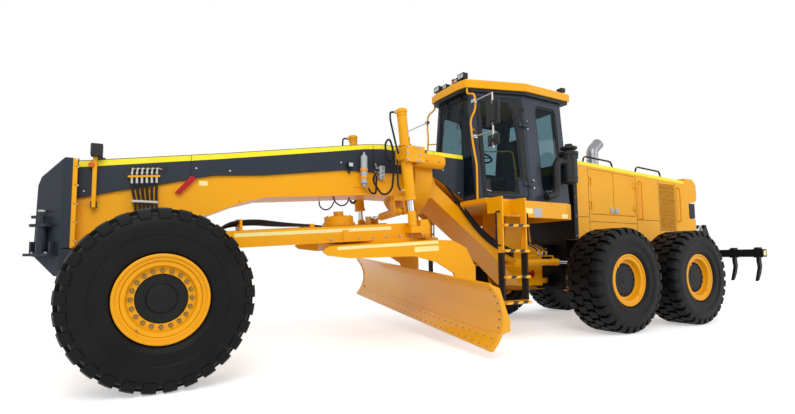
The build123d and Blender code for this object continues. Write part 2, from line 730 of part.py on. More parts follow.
# square to the cylinder and to the path of the eye as the drawbar swings about its ball
eye_path = Vector(shift_tip.Z - ball_at[2], 0, ball_at[0] - shift_tip.X)
shift_across = shift_dir.cross(eye_path).normalized()

# ================================================================ lift saddle
saddle_centre_z = 2400
saddle_radius = 530
lift_fork_y = ((lift_y - 148, lift_y - 110), (lift_y + 110, lift_y + 148))
lift_tube_y = 610

with BuildPart() as saddle:
    with BuildSketch(Plane.YZ.offset(saddle_x[0])) as ring:
        with Locations((0, saddle_centre_z)):
            Circle(saddle_radius)
    extrude(ring.sketch, amount=saddle_x[1] - saddle_x[0])
    block((saddle_x[0] - 5, saddle_x[1] + 5), (-cover_half - 1, cover_half + 1), (2090, 3000),
          mode=Mode.SUBTRACT)
    block((saddle_x[0] - 5, saddle_x[1] + 5), (-600, 600), (2770, 3000), mode=Mode.SUBTRACT)
    for side in (1, -1):
        tube_y = side * lift_tube_y
        round_bar((saddle_x[0] - 110, tube_y, lift_trunnion[1]),
                  (saddle_x[1] + 102, tube_y, lift_trunnion[1]), 100)
        block((saddle_x[0] + 20, saddle_x[1] - 20), across(side, 440, lift_tube_y),
              (lift_trunnion[1] - 60, lift_trunnion[1] + 60))
        fork_inner, fork_outer = lift_fork_y[0][0], lift_fork_y[1][1]
        block((saddle_x[1] + 102, saddle_x[1] + 170), across(side, 520, fork_outer),
              (lift_trunnion[1] - 110, lift_trunnion[1] + 110))
        for y in lift_fork_y:
            pair = across(side, y[0], y[1])
            block((saddle_x[1] + 160, lift_trunnion[0] + 80), pair, (lift_trunnion[1] - 110, lift_trunnion[1] + 110))
            round_bar((lift_trunnion[0], pair[0] - 1, lift_trunnion[1]),
                      (lift_trunnion[0], pair[1] + 1, lift_trunnion[1]), 35 + slip,
                      mode=Mode.SUBTRACT)
    # lugs and pin of the side shift cylinder, under a shelf on the saddle's front face
    block((saddle_x[1] - 20, shift_root.X + 100), (shift_root.Y - 60, shift_root.Y + 60),
          (2020, beam_low[0][1] - seat))
    for wall in (-1, 1):
        near = shift_root + shift_across * (wall * (shift_ball + side_gap))
        lug = Plane(origin=near, x_dir=(0, 1, 0), z_dir=shift_across * wall)
        with BuildSketch(lug) as face:
            with Locations((0, -wall * 85)):
                Rectangle(120, 170)
            Circle(60)
        extrude(face.sketch, amount=26)
    round_bar(shift_root - shift_across * (shift_ball + 30), shift_root + shift_across * (shift_ball + 30),
              shift_pin)
save(saddle, "saddle")

# lift cylinders: a direction from trunnion to foot
lift_dir = Vector(-sin(radians(lift_lean)), 0, -cos(radians(lift_lean)))
lift_up, lift_down, lift_foot_reach = 643, 625, 965


def lift_point(along, y):
    x, z = lift_trunnion
    return (x + lift_dir.X * along, y, z + lift_dir.Z * along)


roll_drop = 2 * lift_y * tan(radians(-drawbar_roll)) / cos(radians(lift_lean))
lift_reach = {1: lift_foot_reach, -1: lift_foot_reach - roll_drop}
lift_ball = 60
cup_room = 18          # the ball's room in its cup: the rod's eye is the open pivot
lift_cup = {
    side: (drawbar_place.inverse() * Location(lift_point(lift_reach[side], side * lift_y))).position
    for side in (1, -1)
}

with BuildPart() as lift_barrels:
    for side in (1, -1):
        y = side * lift_y
        round_bar(lift_point(-lift_up, y), lift_point(0, y), lift_head)
        round_bar(lift_point(-120, y), lift_point(lift_down, y), lift_bore)
        round_bar((lift_trunnion[0], y - 147, lift_trunnion[1]),
                  (lift_trunnion[0], y + 147, lift_trunnion[1]), 35)
        with Locations((lift_trunnion[0], y, lift_trunnion[1])):
            Box(190, 200, 150)
        round_bar(lift_point(-260, y), lift_point(lift_down + 1, y), lift_rod + slip,
                  mode=Mode.SUBTRACT)
save(lift_barrels, "lift_barrels")

with BuildPart() as lift_rods:
    for side in (1, -1):
        y = side * lift_y
        foot = lift_point(lift_reach[side], y)
        round_bar(lift_point(100, y), foot, lift_rod)
        with Locations(foot):
            Sphere(lift_ball)
save(lift_rods, "lift_rods")

# ================================================================ drawbar group
drawbar_z = (-120, 95)
drum_radius = circle_bore - 6
drum_z = (circle_top - circle_thick - 40, drawbar_z[0])
beam_plan = [(-250, -30), (-250, 150), (-2500, 690), (-2980, 690), (-2980, 560),
             (-2530, 560), (-700, 110)]
gearbox_x = -1870

with BuildPart() as drawbar:
    Sphere(ball_radius)
    round_bar((0, 0, 0), (-260, 0, 0), 52)
    block((-420, -230), (-150, 150), (-100, 75))
    plan_plate(beam_plan, drawbar_z)
    plan_plate([(x, -y) for x, y in beam_plan], drawbar_z)
    block((-2980, -2850), (-690, 690), (drawbar_z[0], -20))
    block((-1980, -1700), (-520, 520), (-120, 40))
    with BuildSketch(Plane.XY.offset(drum_z[0]).shift_origin((-circle_back, 0, drum_z[0]))) as drum:
        Circle(drum_radius)
        Circle(drum_radius - 90, mode=Mode.SUBTRACT)
    extrude(drum.sketch, amount=drum_z[1] - drum_z[0] + 20)
    shelf_z = circle_top - circle_thick - 40
    with BuildSketch(Plane.XY.offset(shelf_z).shift_origin((-circle_back, 0, shelf_z))) as shelf:
        Circle(circle_bore + 60)
        Circle(drum_radius - 90, mode=Mode.SUBTRACT)
    extrude(shelf.sketch, amount=40 - seat)
    # circle drive gearbox
    with Locations((gearbox_x, 0, 130)):
        Cylinder(210, 196)
    with Locations((gearbox_x, 0, 260)):
        Cylinder(72, 80)
    for side in (1, -1):
        # lift bracket: an outrigger with a cup under the ball of the lift rod
        cup = lift_cup[side]
        pair = across(side, 680, lift_y + 75)
        block((cup.X - 210, cup.X - 80), pair, (-60, cup.Z + 70))
        block((cup.X - 100, cup.X + 75), pair, (cup.Z - 105, cup.Z - 15))
        with Locations((cup.X, cup.Y, cup.Z)):
            Sphere(lift_ball + cup_room, mode=Mode.SUBTRACT)
    # ears of the side shift cylinder, open between them for the rod's eye
    for near, far in ((44, 64), (-86, -66)):
        block((shift_eye[0] + near, shift_eye[0] + far), (-660, -490), (60, 215))
save(drawbar, "drawbar", drawbar_place)

arm_outline = [
    (1060, -175), (1000, -145), (-500, -145), (-750, -170), (-950, -280), (-1090, -560),
    (-1080, -900), (-1000, -1075), (-900, -1075), (-860, -900), (-740, -620), (-490, -452),
    (-160, -348), (740, -312), (1030, -260), (1085, -215),
]
tip_pivot = (-930, -1000)     # blade tip axis in the circle's frame: x, z

with BuildPart() as circle:
    with BuildSketch(Plane.XY.offset(circle_top - circle_thick)) as ring:
        Circle(circle_radius)
        Circle(circle_bore, mode=Mode.SUBTRACT)
    extrude(ring.sketch, amount=circle_thick)
    for side in (1, -1):
        pair = across(side, arm_y[0], arm_y[1])
        side_plate(arm_outline, pair)
        block((-620, 620), across(side, 790, arm_y[1]),
              (circle_top - circle_thick, circle_top - circle_thick + 35))
        round_bar((tip_pivot[0], pair[0] - 1, tip_pivot[1]),
                  (tip_pivot[0], pair[1] + 1, tip_pivot[1]), 35 + slip, mode=Mode.SUBTRACT)
save(circle, "circle", circle_place)

blade_mid_z = blade_low + blade_chord / 2
blade_radius = blade_chord ** 2 / (8 * blade_hollow) + blade_hollow / 2
blade_centre_x = blade_edge_x - blade_hollow + blade_radius
rail_x_pair = (-740, -660)
rail_rise = 230
rail_half = 30
jaw_y = (560, 640)

with BuildPart() as blade_carrier:
    round_bar((tip_pivot[0], -arm_y[0] + side_gap, tip_pivot[1]),
              (tip_pivot[0], arm_y[0] - side_gap, tip_pivot[1]), 60)
    round_bar((tip_pivot[0], -arm_y[1], tip_pivot[1]), (tip_pivot[0], arm_y[1], tip_pivot[1]), 35)
    for side in (1, -1):
        pair = across(side, jaw_y[0], jaw_y[1])
        back = rail_x_pair[0] - seat
        block((-860, back), pair, (blade_mid_z - rail_rise - 60, blade_mid_z + rail_rise + 60))
        block((-960, -850), pair, (blade_mid_z - 80, blade_mid_z + 80))
        for rail in (-rail_rise, rail_rise):
            z = blade_mid_z + rail
            block((back - 2, -702), pair, (z + rail_half + seat, z + rail_half + 28))
            block((back - 2, -702), pair, (z - rail_half - 28, z - rail_half - seat))
save(blade_carrier, "blade_carrier", circle_place)

with BuildPart() as moldboard:
    low_y = blade_offset - blade_length / 2
    high_y = blade_offset + blade_length / 2
    lean = blade_chord / 2
    inner_mid = (blade_edge_x - blade_hollow, blade_mid_z)
    outer_mid = (inner_mid[0] - blade_sheet, blade_mid_z)
    with BuildSketch(Plane.XZ.offset(-high_y)) as section:
        with BuildLine():
            ThreePointArc((blade_edge_x, blade_mid_z - lean), inner_mid,
                          (blade_edge_x, blade_mid_z + lean))
            Line((blade_edge_x, blade_mid_z + lean), (blade_edge_x - 28, blade_mid_z + lean + 12))
            ThreePointArc((blade_edge_x - 28, blade_mid_z + lean + 12), outer_mid,
                          (blade_edge_x - 28, blade_mid_z - lean))
            Line((blade_edge_x - 28, blade_mid_z - lean), (blade_edge_x, blade_mid_z - lean))
        make_face()
    extrude(section.sketch, amount=blade_length)
    for rail in (-rail_rise, rail_rise):
        z = blade_mid_z + rail
        block(rail_x_pair, (blade_offset - 1900, blade_offset + 1900),
              (z - rail_half, z + rail_half))
    # end plates behind both ends
    for y in ((low_y, low_y + 20), (high_y - 20, high_y)):
        side_plate([(blade_edge_x - 28, blade_mid_z + lean), (blade_edge_x - 150, blade_mid_z + 330),
                    (-790, blade_mid_z - 60), (-790, blade_mid_z - 180), (-690, blade_mid_z - 200),
                    (-700, blade_mid_z), (-640, blade_mid_z + 260)], y)
save(moldboard, "moldboard", circle_place)

# ================================================================ side shift
def shift_point(along):
    return shift_root + shift_dir * along


with BuildPart() as shift_barrel:
    round_bar(shift_point(0), shift_point(520), 60)
    with Locations(Plane(origin=shift_root, z_dir=shift_across).location):
        Sphere(shift_ball)
    round_bar(shift_point(90), shift_point(521), shift_rod_radius + slip, mode=Mode.SUBTRACT)
    round_bar(shift_root - shift_across * 70, shift_root + shift_across * 70, shift_pin + slip,
              mode=Mode.SUBTRACT)
save(shift_barrel, "shift_barrel")

with BuildPart() as shift_rod:
    round_bar(shift_point(260), shift_tip, shift_rod_radius)
    round_bar(shift_tip - shift_across * 28, shift_tip + shift_across * 28, 38)
save(shift_rod, "shift_rod")

# ================================================================ articulation cylinders
joint_rod_end_x = 940
joint_barrel_end_x = 1290
joint_z = joint_eye[2]
for hand, side in sides:
    y = side * joint_eye[1]
    with BuildPart() as joint_barrel:
        round_bar((joint_eye[0], y, joint_z), (joint_barrel_end_x, y, joint_z), 55)
        with Locations((joint_eye[0], y, joint_z)):
            Cylinder(62, 50)
            Cylinder(30 + slip, 52, mode=Mode.SUBTRACT)
        round_bar((2140, y, joint_z), (joint_barrel_end_x - 1, y, joint_z), 28 + slip,
                  mode=Mode.SUBTRACT)
        block((2100, 2400), (y - 80, y + 80), (joint_z + 25, joint_z + 80), mode=Mode.SUBTRACT)
        block((2100, 2400), (y - 80, y + 80), (joint_z - 80, joint_z - 25), mode=Mode.SUBTRACT)
    save(joint_barrel, f"joint_barrel_{hand}")

    with BuildPart() as joint_rod:
        round_bar((1700, y, joint_z), (joint_rod_end_x, y, joint_z), 28)
        with Locations((joint_rod_end_x, y, joint_z)):
            Cylinder(48, 50)
    save(joint_rod, f"joint_rod_{hand}")

# ================================================================ cab
def cab_loft(inset, mode=Mode.ADD):
    """The cab's tapering outside, or the same shape moved inwards by inset."""
    levels = []
    for corners, z in ((cab_foot, cab_floor), (cab_head, cab_top)):
        with BuildSketch(Plane.XY.offset(z)) as level:
            with BuildLine():
                Polyline(*mirrored(corners), close=True)
            make_face()
            if inset:
                offset(amount=-inset, kind=Kind.INTERSECTION, mode=Mode.REPLACE)
        levels.append(level.sketch)
    loft(levels, ruled=True, mode=mode)


side_reach = (-1100, 1100)     # cuts through both sides of the cab at once
door_opening = [(2228, 2125), (2985, 2125), (2955, 3790), (2180, 3790)]
door_leaf = [(2236, 2133), (2977, 2133), (2947, 3782), (2188, 3782)]
door_window = [
    (2400, 2190), (2860, 2190), (2865, 2400), (2925, 2420), (2905, 3700), (2440, 3700),
    (2340, 3560), (2300, 3200), (2300, 2440), (2400, 2420),
]
quarter_window = [
    (1930, 2290), (1860, 2200), (1620, 2200), (1420, 2430), (1395, 3640), (1440, 3720),
    (1840, 3720), (1905, 3640),
]
front_window = [(540, 2160), (372, 3790), (-372, 3790), (-540, 2160)]
rear_window = [(640, 2480), (520, 3720), (-520, 3720), (-640, 2480)]
front_window_x = (2900, 3200)
rear_window_x = (1200, 1400)
glass_inset = (20, 28)
bracket_z = (2640, 2700)
cleaner_at = (1435, 985)
cleaner_radius = 126
cleaner_face = cleaner_at[1] - cleaner_radius - seat

cab_hinge_z = (2350, 3340)
cab_knuckle = 20
cab_hinge_pin = 9
cab_hinge_out = 25       # hinge axis outside the wall


def door_wall_y(x, z):
    """The outer face of the left door's wall at a point of its elevation."""
    rise = (z - cab_floor) / (cab_top - cab_floor)
    front, rear = [
        (foot[0] + (head[0] - foot[0]) * rise, foot[1] + (head[1] - foot[1]) * rise)
        for foot, head in zip(cab_foot[:2], cab_head[:2])
    ]
    return rear[1] + (x - rear[0]) * (front[1] - rear[1]) / (front[0] - rear[0])


hinge_foot, hinge_head = [
    Vector(x - 6, door_wall_y(x - 6, z), z) for x, z in (door_opening[0], door_opening[3])
]
hinge_up = (hinge_head - hinge_foot).normalized()
wall_slope = door_wall_y(2801, 2900) - door_wall_y(2800, 2900)
hinge_forward = Vector(1, wall_slope, 0).normalized()
hinge_normal = hinge_up.cross(hinge_forward).normalized()


def hinge_frame(side, z):
    """Where a door's hinge axis passes a height: x forward in the wall, z up the axis."""
    point = hinge_foot + hinge_up * ((z - hinge_foot.Z) / hinge_up.Z) + hinge_normal * cab_hinge_out
    return Plane(origin=(point.X, side * point.Y, point.Z),
                 x_dir=(hinge_forward.X, side * hinge_forward.Y, 0),
                 z_dir=(hinge_up.X, side * hinge_up.Y, hinge_up.Z))


def hinge_leaf(side, z, reach, heights, mode=Mode.ADD):
    """Knuckle and strap of one hinge half; reach runs along the wall from the axis."""
    frame = hinge_frame(side, z)
    pad = 60 if reach > 0 else -60
    for low, high in heights:
        with BuildSketch(frame.offset(low)) as section:
            Circle(cab_knuckle)
            with Locations((reach / 2, -side * 13)):
                Rectangle(abs(reach), 22)
            with Locations((reach - pad / 2, -side * 20)):
                Rectangle(abs(pad), 20)
        extrude(section.sketch, amount=high - low, mode=mode)


with BuildPart() as cab_shell:
    cab_loft(0)
    cab_loft(cab_wall, mode=Mode.SUBTRACT)
    plan_plate(mirrored([(x - 20 if x > 2500 else x, y - 20) for x, y in cab_foot[:2]]
                        + [(cab_foot[2][0] + 20, cab_foot[2][1] - 20)]),
               (cab_floor, cab_floor + 50))
    for outline in (door_opening, quarter_window):
        side_plate(outline, side_reach, mode=Mode.SUBTRACT)
    front_plate(front_window, front_window_x, mode=Mode.SUBTRACT)
    front_plate(rear_window, rear_window_x, mode=Mode.SUBTRACT)
    # bracket of the air cleaner on the rear left pillar
    block((1325, 1405), (760, cleaner_face), bracket_z)
    block((1325, 1475), (cleaner_face - 24, cleaner_face), bracket_z)
    for side in (1, -1):
        for z in cab_hinge_z:
            hinge_leaf(side, z, -80, ((-52, -32 - seat), (32 + seat, 52)))
            with BuildSketch(hinge_frame(side, z).offset(-50)) as pin:
                Circle(cab_hinge_pin)
            extrude(pin.sketch, amount=100)
save(cab_shell, "cab_shell")

with BuildPart() as cab_glass:
    cab_loft(glass_inset[0])
    cab_loft(glass_inset[1], mode=Mode.SUBTRACT)
    with BuildPart(mode=Mode.PRIVATE) as panes:
        side_plate(quarter_window, side_reach)
        front_plate(front_window, front_window_x)
        front_plate(rear_window, rear_window_x)
    add(panes.part, mode=Mode.INTERSECT)
save(cab_glass, "cab_glass")

for hand, side in sides:
    half_space = across(side, 100, 1100)
    with BuildPart() as cab_door:
        cab_loft(0)
        cab_loft(cab_wall, mode=Mode.SUBTRACT)
        side_plate(door_leaf, half_space, mode=Mode.INTERSECT)
        side_plate(door_window, side_reach, mode=Mode.SUBTRACT)
        for z in cab_hinge_z:
            hinge_leaf(side, z, 90, ((-32, 32),))
            with BuildSketch(hinge_frame(side, z).offset(-60)) as bore:
                Circle(cab_hinge_pin + slip)
            extrude(bore.sketch, amount=120, mode=Mode.SUBTRACT)
    save(cab_door, f"cab_door_{hand}")
    with BuildPart() as door_glass:
        cab_loft(glass_inset[0])
        cab_loft(glass_inset[1], mode=Mode.SUBTRACT)
        side_plate(door_window, half_space, mode=Mode.INTERSECT)
    save(door_glass, f"door_glass_{hand}")

roof_plan = mirrored([(3185, 300), (3150, 470), (2130, 775), (1080, 745)])
roof_cap = (cab_top + roof_skirt, cab_top + roof_thick)

with BuildPart() as cab_roof:
    plan_plate(roof_plan, (cab_top, roof_cap[1]))
    chamfer(faces().sort_by(Axis.Z)[-1].edges(), 22)
save(cab_roof, "cab_roof")

seat_floor = cab_floor + 50
with BuildPart() as cab_interior:
    block((1750, 2150), (-200, 200), (seat_floor, seat_floor + 300))      # seat base
    block((1700, 2230), (-260, 260), (seat_floor + 300, seat_floor + 450))
    side_plate([(1720, seat_floor + 440), (1860, seat_floor + 440), (1760, seat_floor + 1150),
                (1620, seat_floor + 1150)], (-250, 250))
    for side in (1, -1):
        block((1800, 2200), across(side, 300, 420), (seat_floor, seat_floor + 560))
    block((2480, 2760), (-160, 160), (seat_floor, seat_floor + 200))      # column foot
    side_plate([(2560, seat_floor + 190), (2700, seat_floor + 190), (2560, seat_floor + 790),
                (2450, seat_floor + 790)], (-90, 90))
    with BuildSketch(Plane(origin=(2480, 0, seat_floor + 790), x_dir=(0, 1, 0),
                           z_dir=(-0.35, 0, 1))) as wheel:
        Circle(210)
        Circle(180, mode=Mode.SUBTRACT)
        Rectangle(370, 40)
        Circle(60)
    extrude(wheel.sketch, amount=30, both=True)
save(cab_interior, "cab_interior")

deck_front = 3205
deck_plan = mirrored([(3085, 345), (deck_front, 345), (deck_front, 950), (1480, 950), (1310, 880)])
deck_inside = mirrored([(3070, 315), (deck_front - 30, 375), (deck_front - 30, 920), (1500, 920),
                        (1340, 850)])
# slanted cut at the front of the deck's skirt: x, z
skirt_cut = [(deck_front + 5, 2005), (deck_front + 5, platform_z[0] - 5), (2975, platform_z[0] - 5)]
ladder_x = (2710, 3180)
ladder_y = (1100, 1300)
rail_bar = 25
step_heights = (560, 920, 1290, 1650)

with BuildPart() as cab_platform:
    plan_plate(deck_plan, platform_z)
    plan_plate(deck_inside, (platform_z[0] - 10, platform_z[1] - platform_deck),
               mode=Mode.SUBTRACT)
    block((2850, deck_front + 10), (-345, 345), (platform_z[0] - 10, platform_z[1] - platform_deck),
          mode=Mode.SUBTRACT)
    block((3085, deck_front + 10), (-345, 345), (platform_z[0] - 10, platform_z[1] + 10),
          mode=Mode.SUBTRACT)
    side_plate(skirt_cut, (-1000, 1000), mode=Mode.SUBTRACT)
    for side in (1, -1):
        for x in ladder_x:
            bar = sorted((x, x + (rail_bar if x == ladder_x[0] else -rail_bar)))
            block(bar, across(side, 1150, 1250), (step_heights[0], 1960))
            block(bar, across(side, 940, 1250), (1820, cab_floor - 10))
        for z in step_heights:
            block(ladder_x, across(side, ladder_y[0], ladder_y[1]), (z - 35, z))
save(cab_platform, "cab_platform")

rail_route = [
    (3105, 445, cab_top), (3105, 445, 3800), (3120, 650, 3740), (3120, 665, 3480),
    (3160, 580, 3340), (3160, 620, 3000), (3145, 690, 2600), (3145, 690, cab_floor + seat),
]
mirror_at = (3260, 1200)

with BuildPart() as grab_rails:
    for side in (1, -1):
        bent_tube([(x, side * y, z) for x, y, z in rail_route], 60, 16)
        x, y = mirror_at[0], side * mirror_at[1]
        round_bar((x, y, 2740), (x, y, 3560), 14)
        for z in (3550, 2990):
            round_bar((x, y, z), (3140, side * 620, z + 60), 11)
        block((x - 25, x + 25), (y - 130, y + 130), (3070, 3440))
        block((x - 25, x + 25), (y - 110, y + 110), (2780, 2940))
        # handrails beside the ladder
        for upright, out in ((ladder_x[0], -1), (ladder_x[1], 1)):
            foot = upright + out * seat
            bent_tube([(foot, side * mid(ladder_y), 1350), (foot + out * 70, side * mid(ladder_y), 1350),
                       (foot + out * 70, side * mid(ladder_y), 1830),
                       (foot, side * mid(ladder_y), 1830)], 35, 12)
save(grab_rails, "grab_rails")

with BuildPart() as air_cleaner:
    # drum, rim, neck, pre-cleaner and its knob: radius, low, high
    for radius, low, high in ((cleaner_radius, 2400, 2861), (cleaner_radius + 20, 2860, 2910),
                              (55, 2909, 2962), (cleaner_radius + 5, 2960, 2992), (60, 2991, 3045)):
        round_bar((*cleaner_at, low), (*cleaner_at, high), radius)
    bent_tube([(cleaner_at[0] + 80, cleaner_at[1], 2740), (1737, cleaner_at[1], 2740),
               (1737, 975, 2205), (1960, 962, 2135)], 95, 62)
save(air_cleaner, "air_cleaner")

roof_top = roof_cap[1]
# roof lamps: x, y, width, height
lamp_rows = [
    (3090, 330, 150, 130), (3060, 160, 90, 110), (3060, -150, 110, 110), (3090, -340, 150, 130),
    (1160, 640, 110, 110), (1160, -640, 110, 110),
]
post_x = nose_back_x - 170
post_y = (345, 385)
post_top = 2290

with BuildPart() as work_lamps:
    for x, y, width, height in lamp_rows:
        block((x - 45, x + 45), (y - width / 2, y + width / 2), (roof_top + 40, roof_top + height))
        block((x - 12, x + 12), (y - 30, y + 30), (roof_top, roof_top + 45))
    with Locations((3040, 40, roof_top + 70)):
        Cylinder(48, 140)
    for side in (1, -1):
        pair = across(side, post_y[0], post_y[1])
        block((post_x - 30, post_x + 30), across(side, beam_half, post_y[1]), (1740, 1800))
        block((post_x - 20, post_x + 20), pair, (1740, post_top + 10))
        block((post_x - 70, post_x + 40), across(side, post_y[0] - 15, post_y[1] + 65),
              (post_top, post_top + 130))
save(work_lamps, "work_lamps")
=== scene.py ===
# %% [markdown]
# # Dressing a motor grader
# The CAD model gives a full-size machine: frames, wheels, cab, blade and ripper, each on
# its own moving body. This lesson adds what the eye expects on top of it: paint, rubber,
# glass, tread blocks, bolts, hoses, lamps and an operator's seat. Nothing here moves or
# resizes the CAD; every new piece rides on the body that would carry it on the machine.

# %% Load the frame
import math
import bmesh
import bpy
from mathutils import Matrix, Vector


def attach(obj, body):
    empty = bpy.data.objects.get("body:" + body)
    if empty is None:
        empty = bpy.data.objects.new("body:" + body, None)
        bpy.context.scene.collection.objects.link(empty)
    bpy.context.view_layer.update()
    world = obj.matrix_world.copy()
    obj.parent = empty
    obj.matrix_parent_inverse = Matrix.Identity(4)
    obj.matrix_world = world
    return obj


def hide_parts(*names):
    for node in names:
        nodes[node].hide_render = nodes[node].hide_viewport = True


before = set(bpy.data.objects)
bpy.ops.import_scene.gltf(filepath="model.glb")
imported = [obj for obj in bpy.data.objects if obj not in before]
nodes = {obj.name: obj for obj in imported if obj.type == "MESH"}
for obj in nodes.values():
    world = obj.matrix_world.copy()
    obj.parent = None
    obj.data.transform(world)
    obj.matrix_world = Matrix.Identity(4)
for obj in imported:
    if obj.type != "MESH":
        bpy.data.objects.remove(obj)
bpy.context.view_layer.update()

UP, AHEAD = (0, 0, 1), (1, 0, 0)

# %% [markdown]
# ## Camera
# The machine is seen from low down near its left front tyre, with a wide lens. The lens
# is written as the ratio of focal length to frame width, and the small shift keeps the
# horizon where that viewpoint puts it.

# %% Camera
FRAME_WIDTH_MM = 36.0
FOCAL_TO_WIDTH = 0.59185
EYE = (7.845, 6.244, 1.151)
YAW, PITCH, ROLL = 0.49641, 0.07878, 0.00665
camera_data = bpy.data.cameras.new("low_front_view")
camera_data.sensor_width = FRAME_WIDTH_MM
camera_data.lens = FOCAL_TO_WIDTH * FRAME_WIDTH_MM
camera_data.shift_x = 0.0219
camera_data.shift_y = 0.0203
camera_data.clip_end = 200.0

look = Vector((-math.sin(YAW) * math.cos(PITCH), -math.cos(YAW) * math.cos(PITCH), math.sin(PITCH)))
level = Vector((-math.cos(YAW), math.sin(YAW), 0.0))
upright = level.cross(look)
turn = Matrix.Rotation(ROLL, 3, look)
right, up = turn @ level, turn @ upright

camera = bpy.data.objects.new("low_front_view", camera_data)
camera.matrix_world = Matrix(((right.x, up.x, -look.x, EYE[0]), (right.y, up.y, -look.y, EYE[1]),
    (right.z, up.z, -look.z, EYE[2]), (0, 0, 0, 1)))
bpy.context.scene.collection.objects.link(camera)
bpy.context.scene.camera = camera
print("lens", round(camera_data.lens, 2), "mm")

# %% [markdown]
# ## Colours and nodes
# Paint chips are written as the sRGB hex values that a colour card would give. Shaders
# work in linear light, so one function does that change, and one small function adds a
# node to a material with its settings and its links.


# %% Helpers for finishes
def chip(code, alpha=1.0):
    """A colour card's hex value as linear RGBA."""
    parts = [int(code[i:i + 2], 16) / 255 for i in (1, 3, 5)]
    linear = [v / 12.92 if v <= 0.04045 else ((v + 0.055) / 1.055) ** 2.4 for v in parts]
    return (*linear, alpha)


def add_node(material, kind, settings=None, **links):
    """Add one node; settings are its own options, links its sockets' values or sources."""
    node = material.node_tree.nodes.new("ShaderNode" + kind)
    for key, value in (settings or {}).items():
        setattr(node, key, value)
    for key, value in links.items():
        socket = node.inputs[int(key[1:])] if key[1:].isdigit() else node.inputs[key.replace("_", " ")]
        if isinstance(value, bpy.types.NodeSocket):
            material.node_tree.links.new(value, socket)
        else:
            socket.default_value = value
    return node


def new_finish(name):
    """An empty material with its Principled shader ready."""
    material = bpy.data.materials.new(name)
    material.use_nodes = True
    shader = material.node_tree.nodes["Principled BSDF"]
    return material, shader


def wire(material, source, socket):
    material.node_tree.links.new(source, socket)


# %% [markdown]
# ## Enamel
# Construction machines are sprayed with two-pack enamel over primed steel. It is a
# coloured coat with a glossy skin, so the shader has a clear coat over a slightly rough
# base. Three things keep it from looking like plastic: a faint change of tone from plate
# to plate, the orange peel that a spray gun leaves (about 4 mm across, drawn at 12 mm so
# that it shows), and edges whose rounding catches the light.


# %% Enamel
EDGE_ROUNDING = 0.004
TONE_DRIFT = 0.12


def enamel(name, colour, roughness=0.40, coat=0.06, shine=0.25):
    material, shader = new_finish(name)
    place = add_node(material, "TexCoord").outputs["Object"]
    drift = add_node(material, "TexNoise", Vector=place, Scale=1.3, Detail=3.0)
    base = chip(colour)
    dull = tuple(v * (1 - TONE_DRIFT) for v in base[:3]) + (1.0,)
    blend = add_node(material, "Mix", {"data_type": "RGBA"}, i0=drift.outputs["Fac"], i6=dull, i7=base)
    wire(material, blend.outputs[2], shader.inputs["Base Color"])
    rub = add_node(material, "TexNoise", Vector=place, Scale=5.0, Detail=4.0)
    rough = add_node(material, "MapRange", Value=rub.outputs["Fac"], To_Min=roughness - 0.06,
        To_Max=roughness + 0.08)
    wire(material, rough.outputs[0], shader.inputs["Roughness"])
    peel = add_node(material, "TexNoise", Vector=place, Scale=80.0, Detail=1.0)
    rounded = add_node(material, "Bevel", {"samples": 4}, Radius=EDGE_ROUNDING)
    bump = add_node(material, "Bump", Strength=0.035, Distance=0.002, Height=peel.outputs["Fac"],
        Normal=rounded.outputs[0])
    wire(material, bump.outputs[0], shader.inputs["Normal"])
    shader.inputs["Specular IOR Level"].default_value = shine
    shader.inputs["Coat Weight"].default_value = coat
    shader.inputs["Coat Roughness"].default_value = 0.12
    return material


yellow_enamel = enamel("yellow_enamel", "#F2A900")
wheel_enamel = enamel("yellow_wheel_enamel", "#EDA300", roughness=0.42)
cab_enamel = enamel("slate_grey_cab_enamel", "#343A46", roughness=0.46, coat=0.04, shine=0.2)
cover_enamel = enamel("anthracite_cover_enamel", "#2A303A", roughness=0.46, coat=0.04, shine=0.2)
black_enamel = enamel("black_chassis_enamel", "#0E0F11", roughness=0.48, coat=0.03, shine=0.2)
blade_enamel = enamel("glossy_blade_enamel", "#F2A900", roughness=0.30, coat=0.2, shine=0.35)
top_grey_enamel = enamel("pale_grey_deck_enamel", "#989FA9", roughness=0.5, coat=0.05)
print("enamels", len([m for m in bpy.data.materials if "enamel" in m.name]))

# %% [markdown]
# ## Tyre rubber
# Off-road rubber is carbon-black and matt, moulded in a steel mould. New, it has a soft
# sheen on the sidewalls and a little grey bloom in the hollows. A fine grain from the
# mould (drawn at 8 mm) breaks up the highlight.


# %% Tyre rubber
def tyre_rubber():
    material, shader = new_finish("moulded_tyre_rubber")
    place = add_node(material, "TexCoord").outputs["Object"]
    bloom = add_node(material, "TexNoise", Vector=place, Scale=2.6, Detail=5.0, Roughness=0.6)
    tone = add_node(material, "ValToRGB", Fac=bloom.outputs["Fac"])
    tone.color_ramp.elements[0].position = 0.35
    tone.color_ramp.elements[0].color = chip("#060607")
    tone.color_ramp.elements[1].position = 0.8
    tone.color_ramp.elements[1].color = chip("#121214")
    wire(material, tone.outputs[0], shader.inputs["Base Color"])
    grain = add_node(material, "TexNoise", Vector=place, Scale=125.0, Detail=2.0)
    bump = add_node(material, "Bump", Strength=0.12, Distance=0.002, Height=grain.outputs["Fac"])
    wire(material, bump.outputs[0], shader.inputs["Normal"])
    shader.inputs["Roughness"].default_value = 0.52
    shader.inputs["Specular IOR Level"].default_value = 0.16
    return material


tyre_finish = tyre_rubber()

# %% [markdown]
# ## Metals
# Three bare metals show. Hard chrome on the cylinder rods is a mirror that picks up long
# streaks. The exhaust is thin stainless, brushed round its length. Zinc-plated bolts and
# hose fittings are grey and half matt.


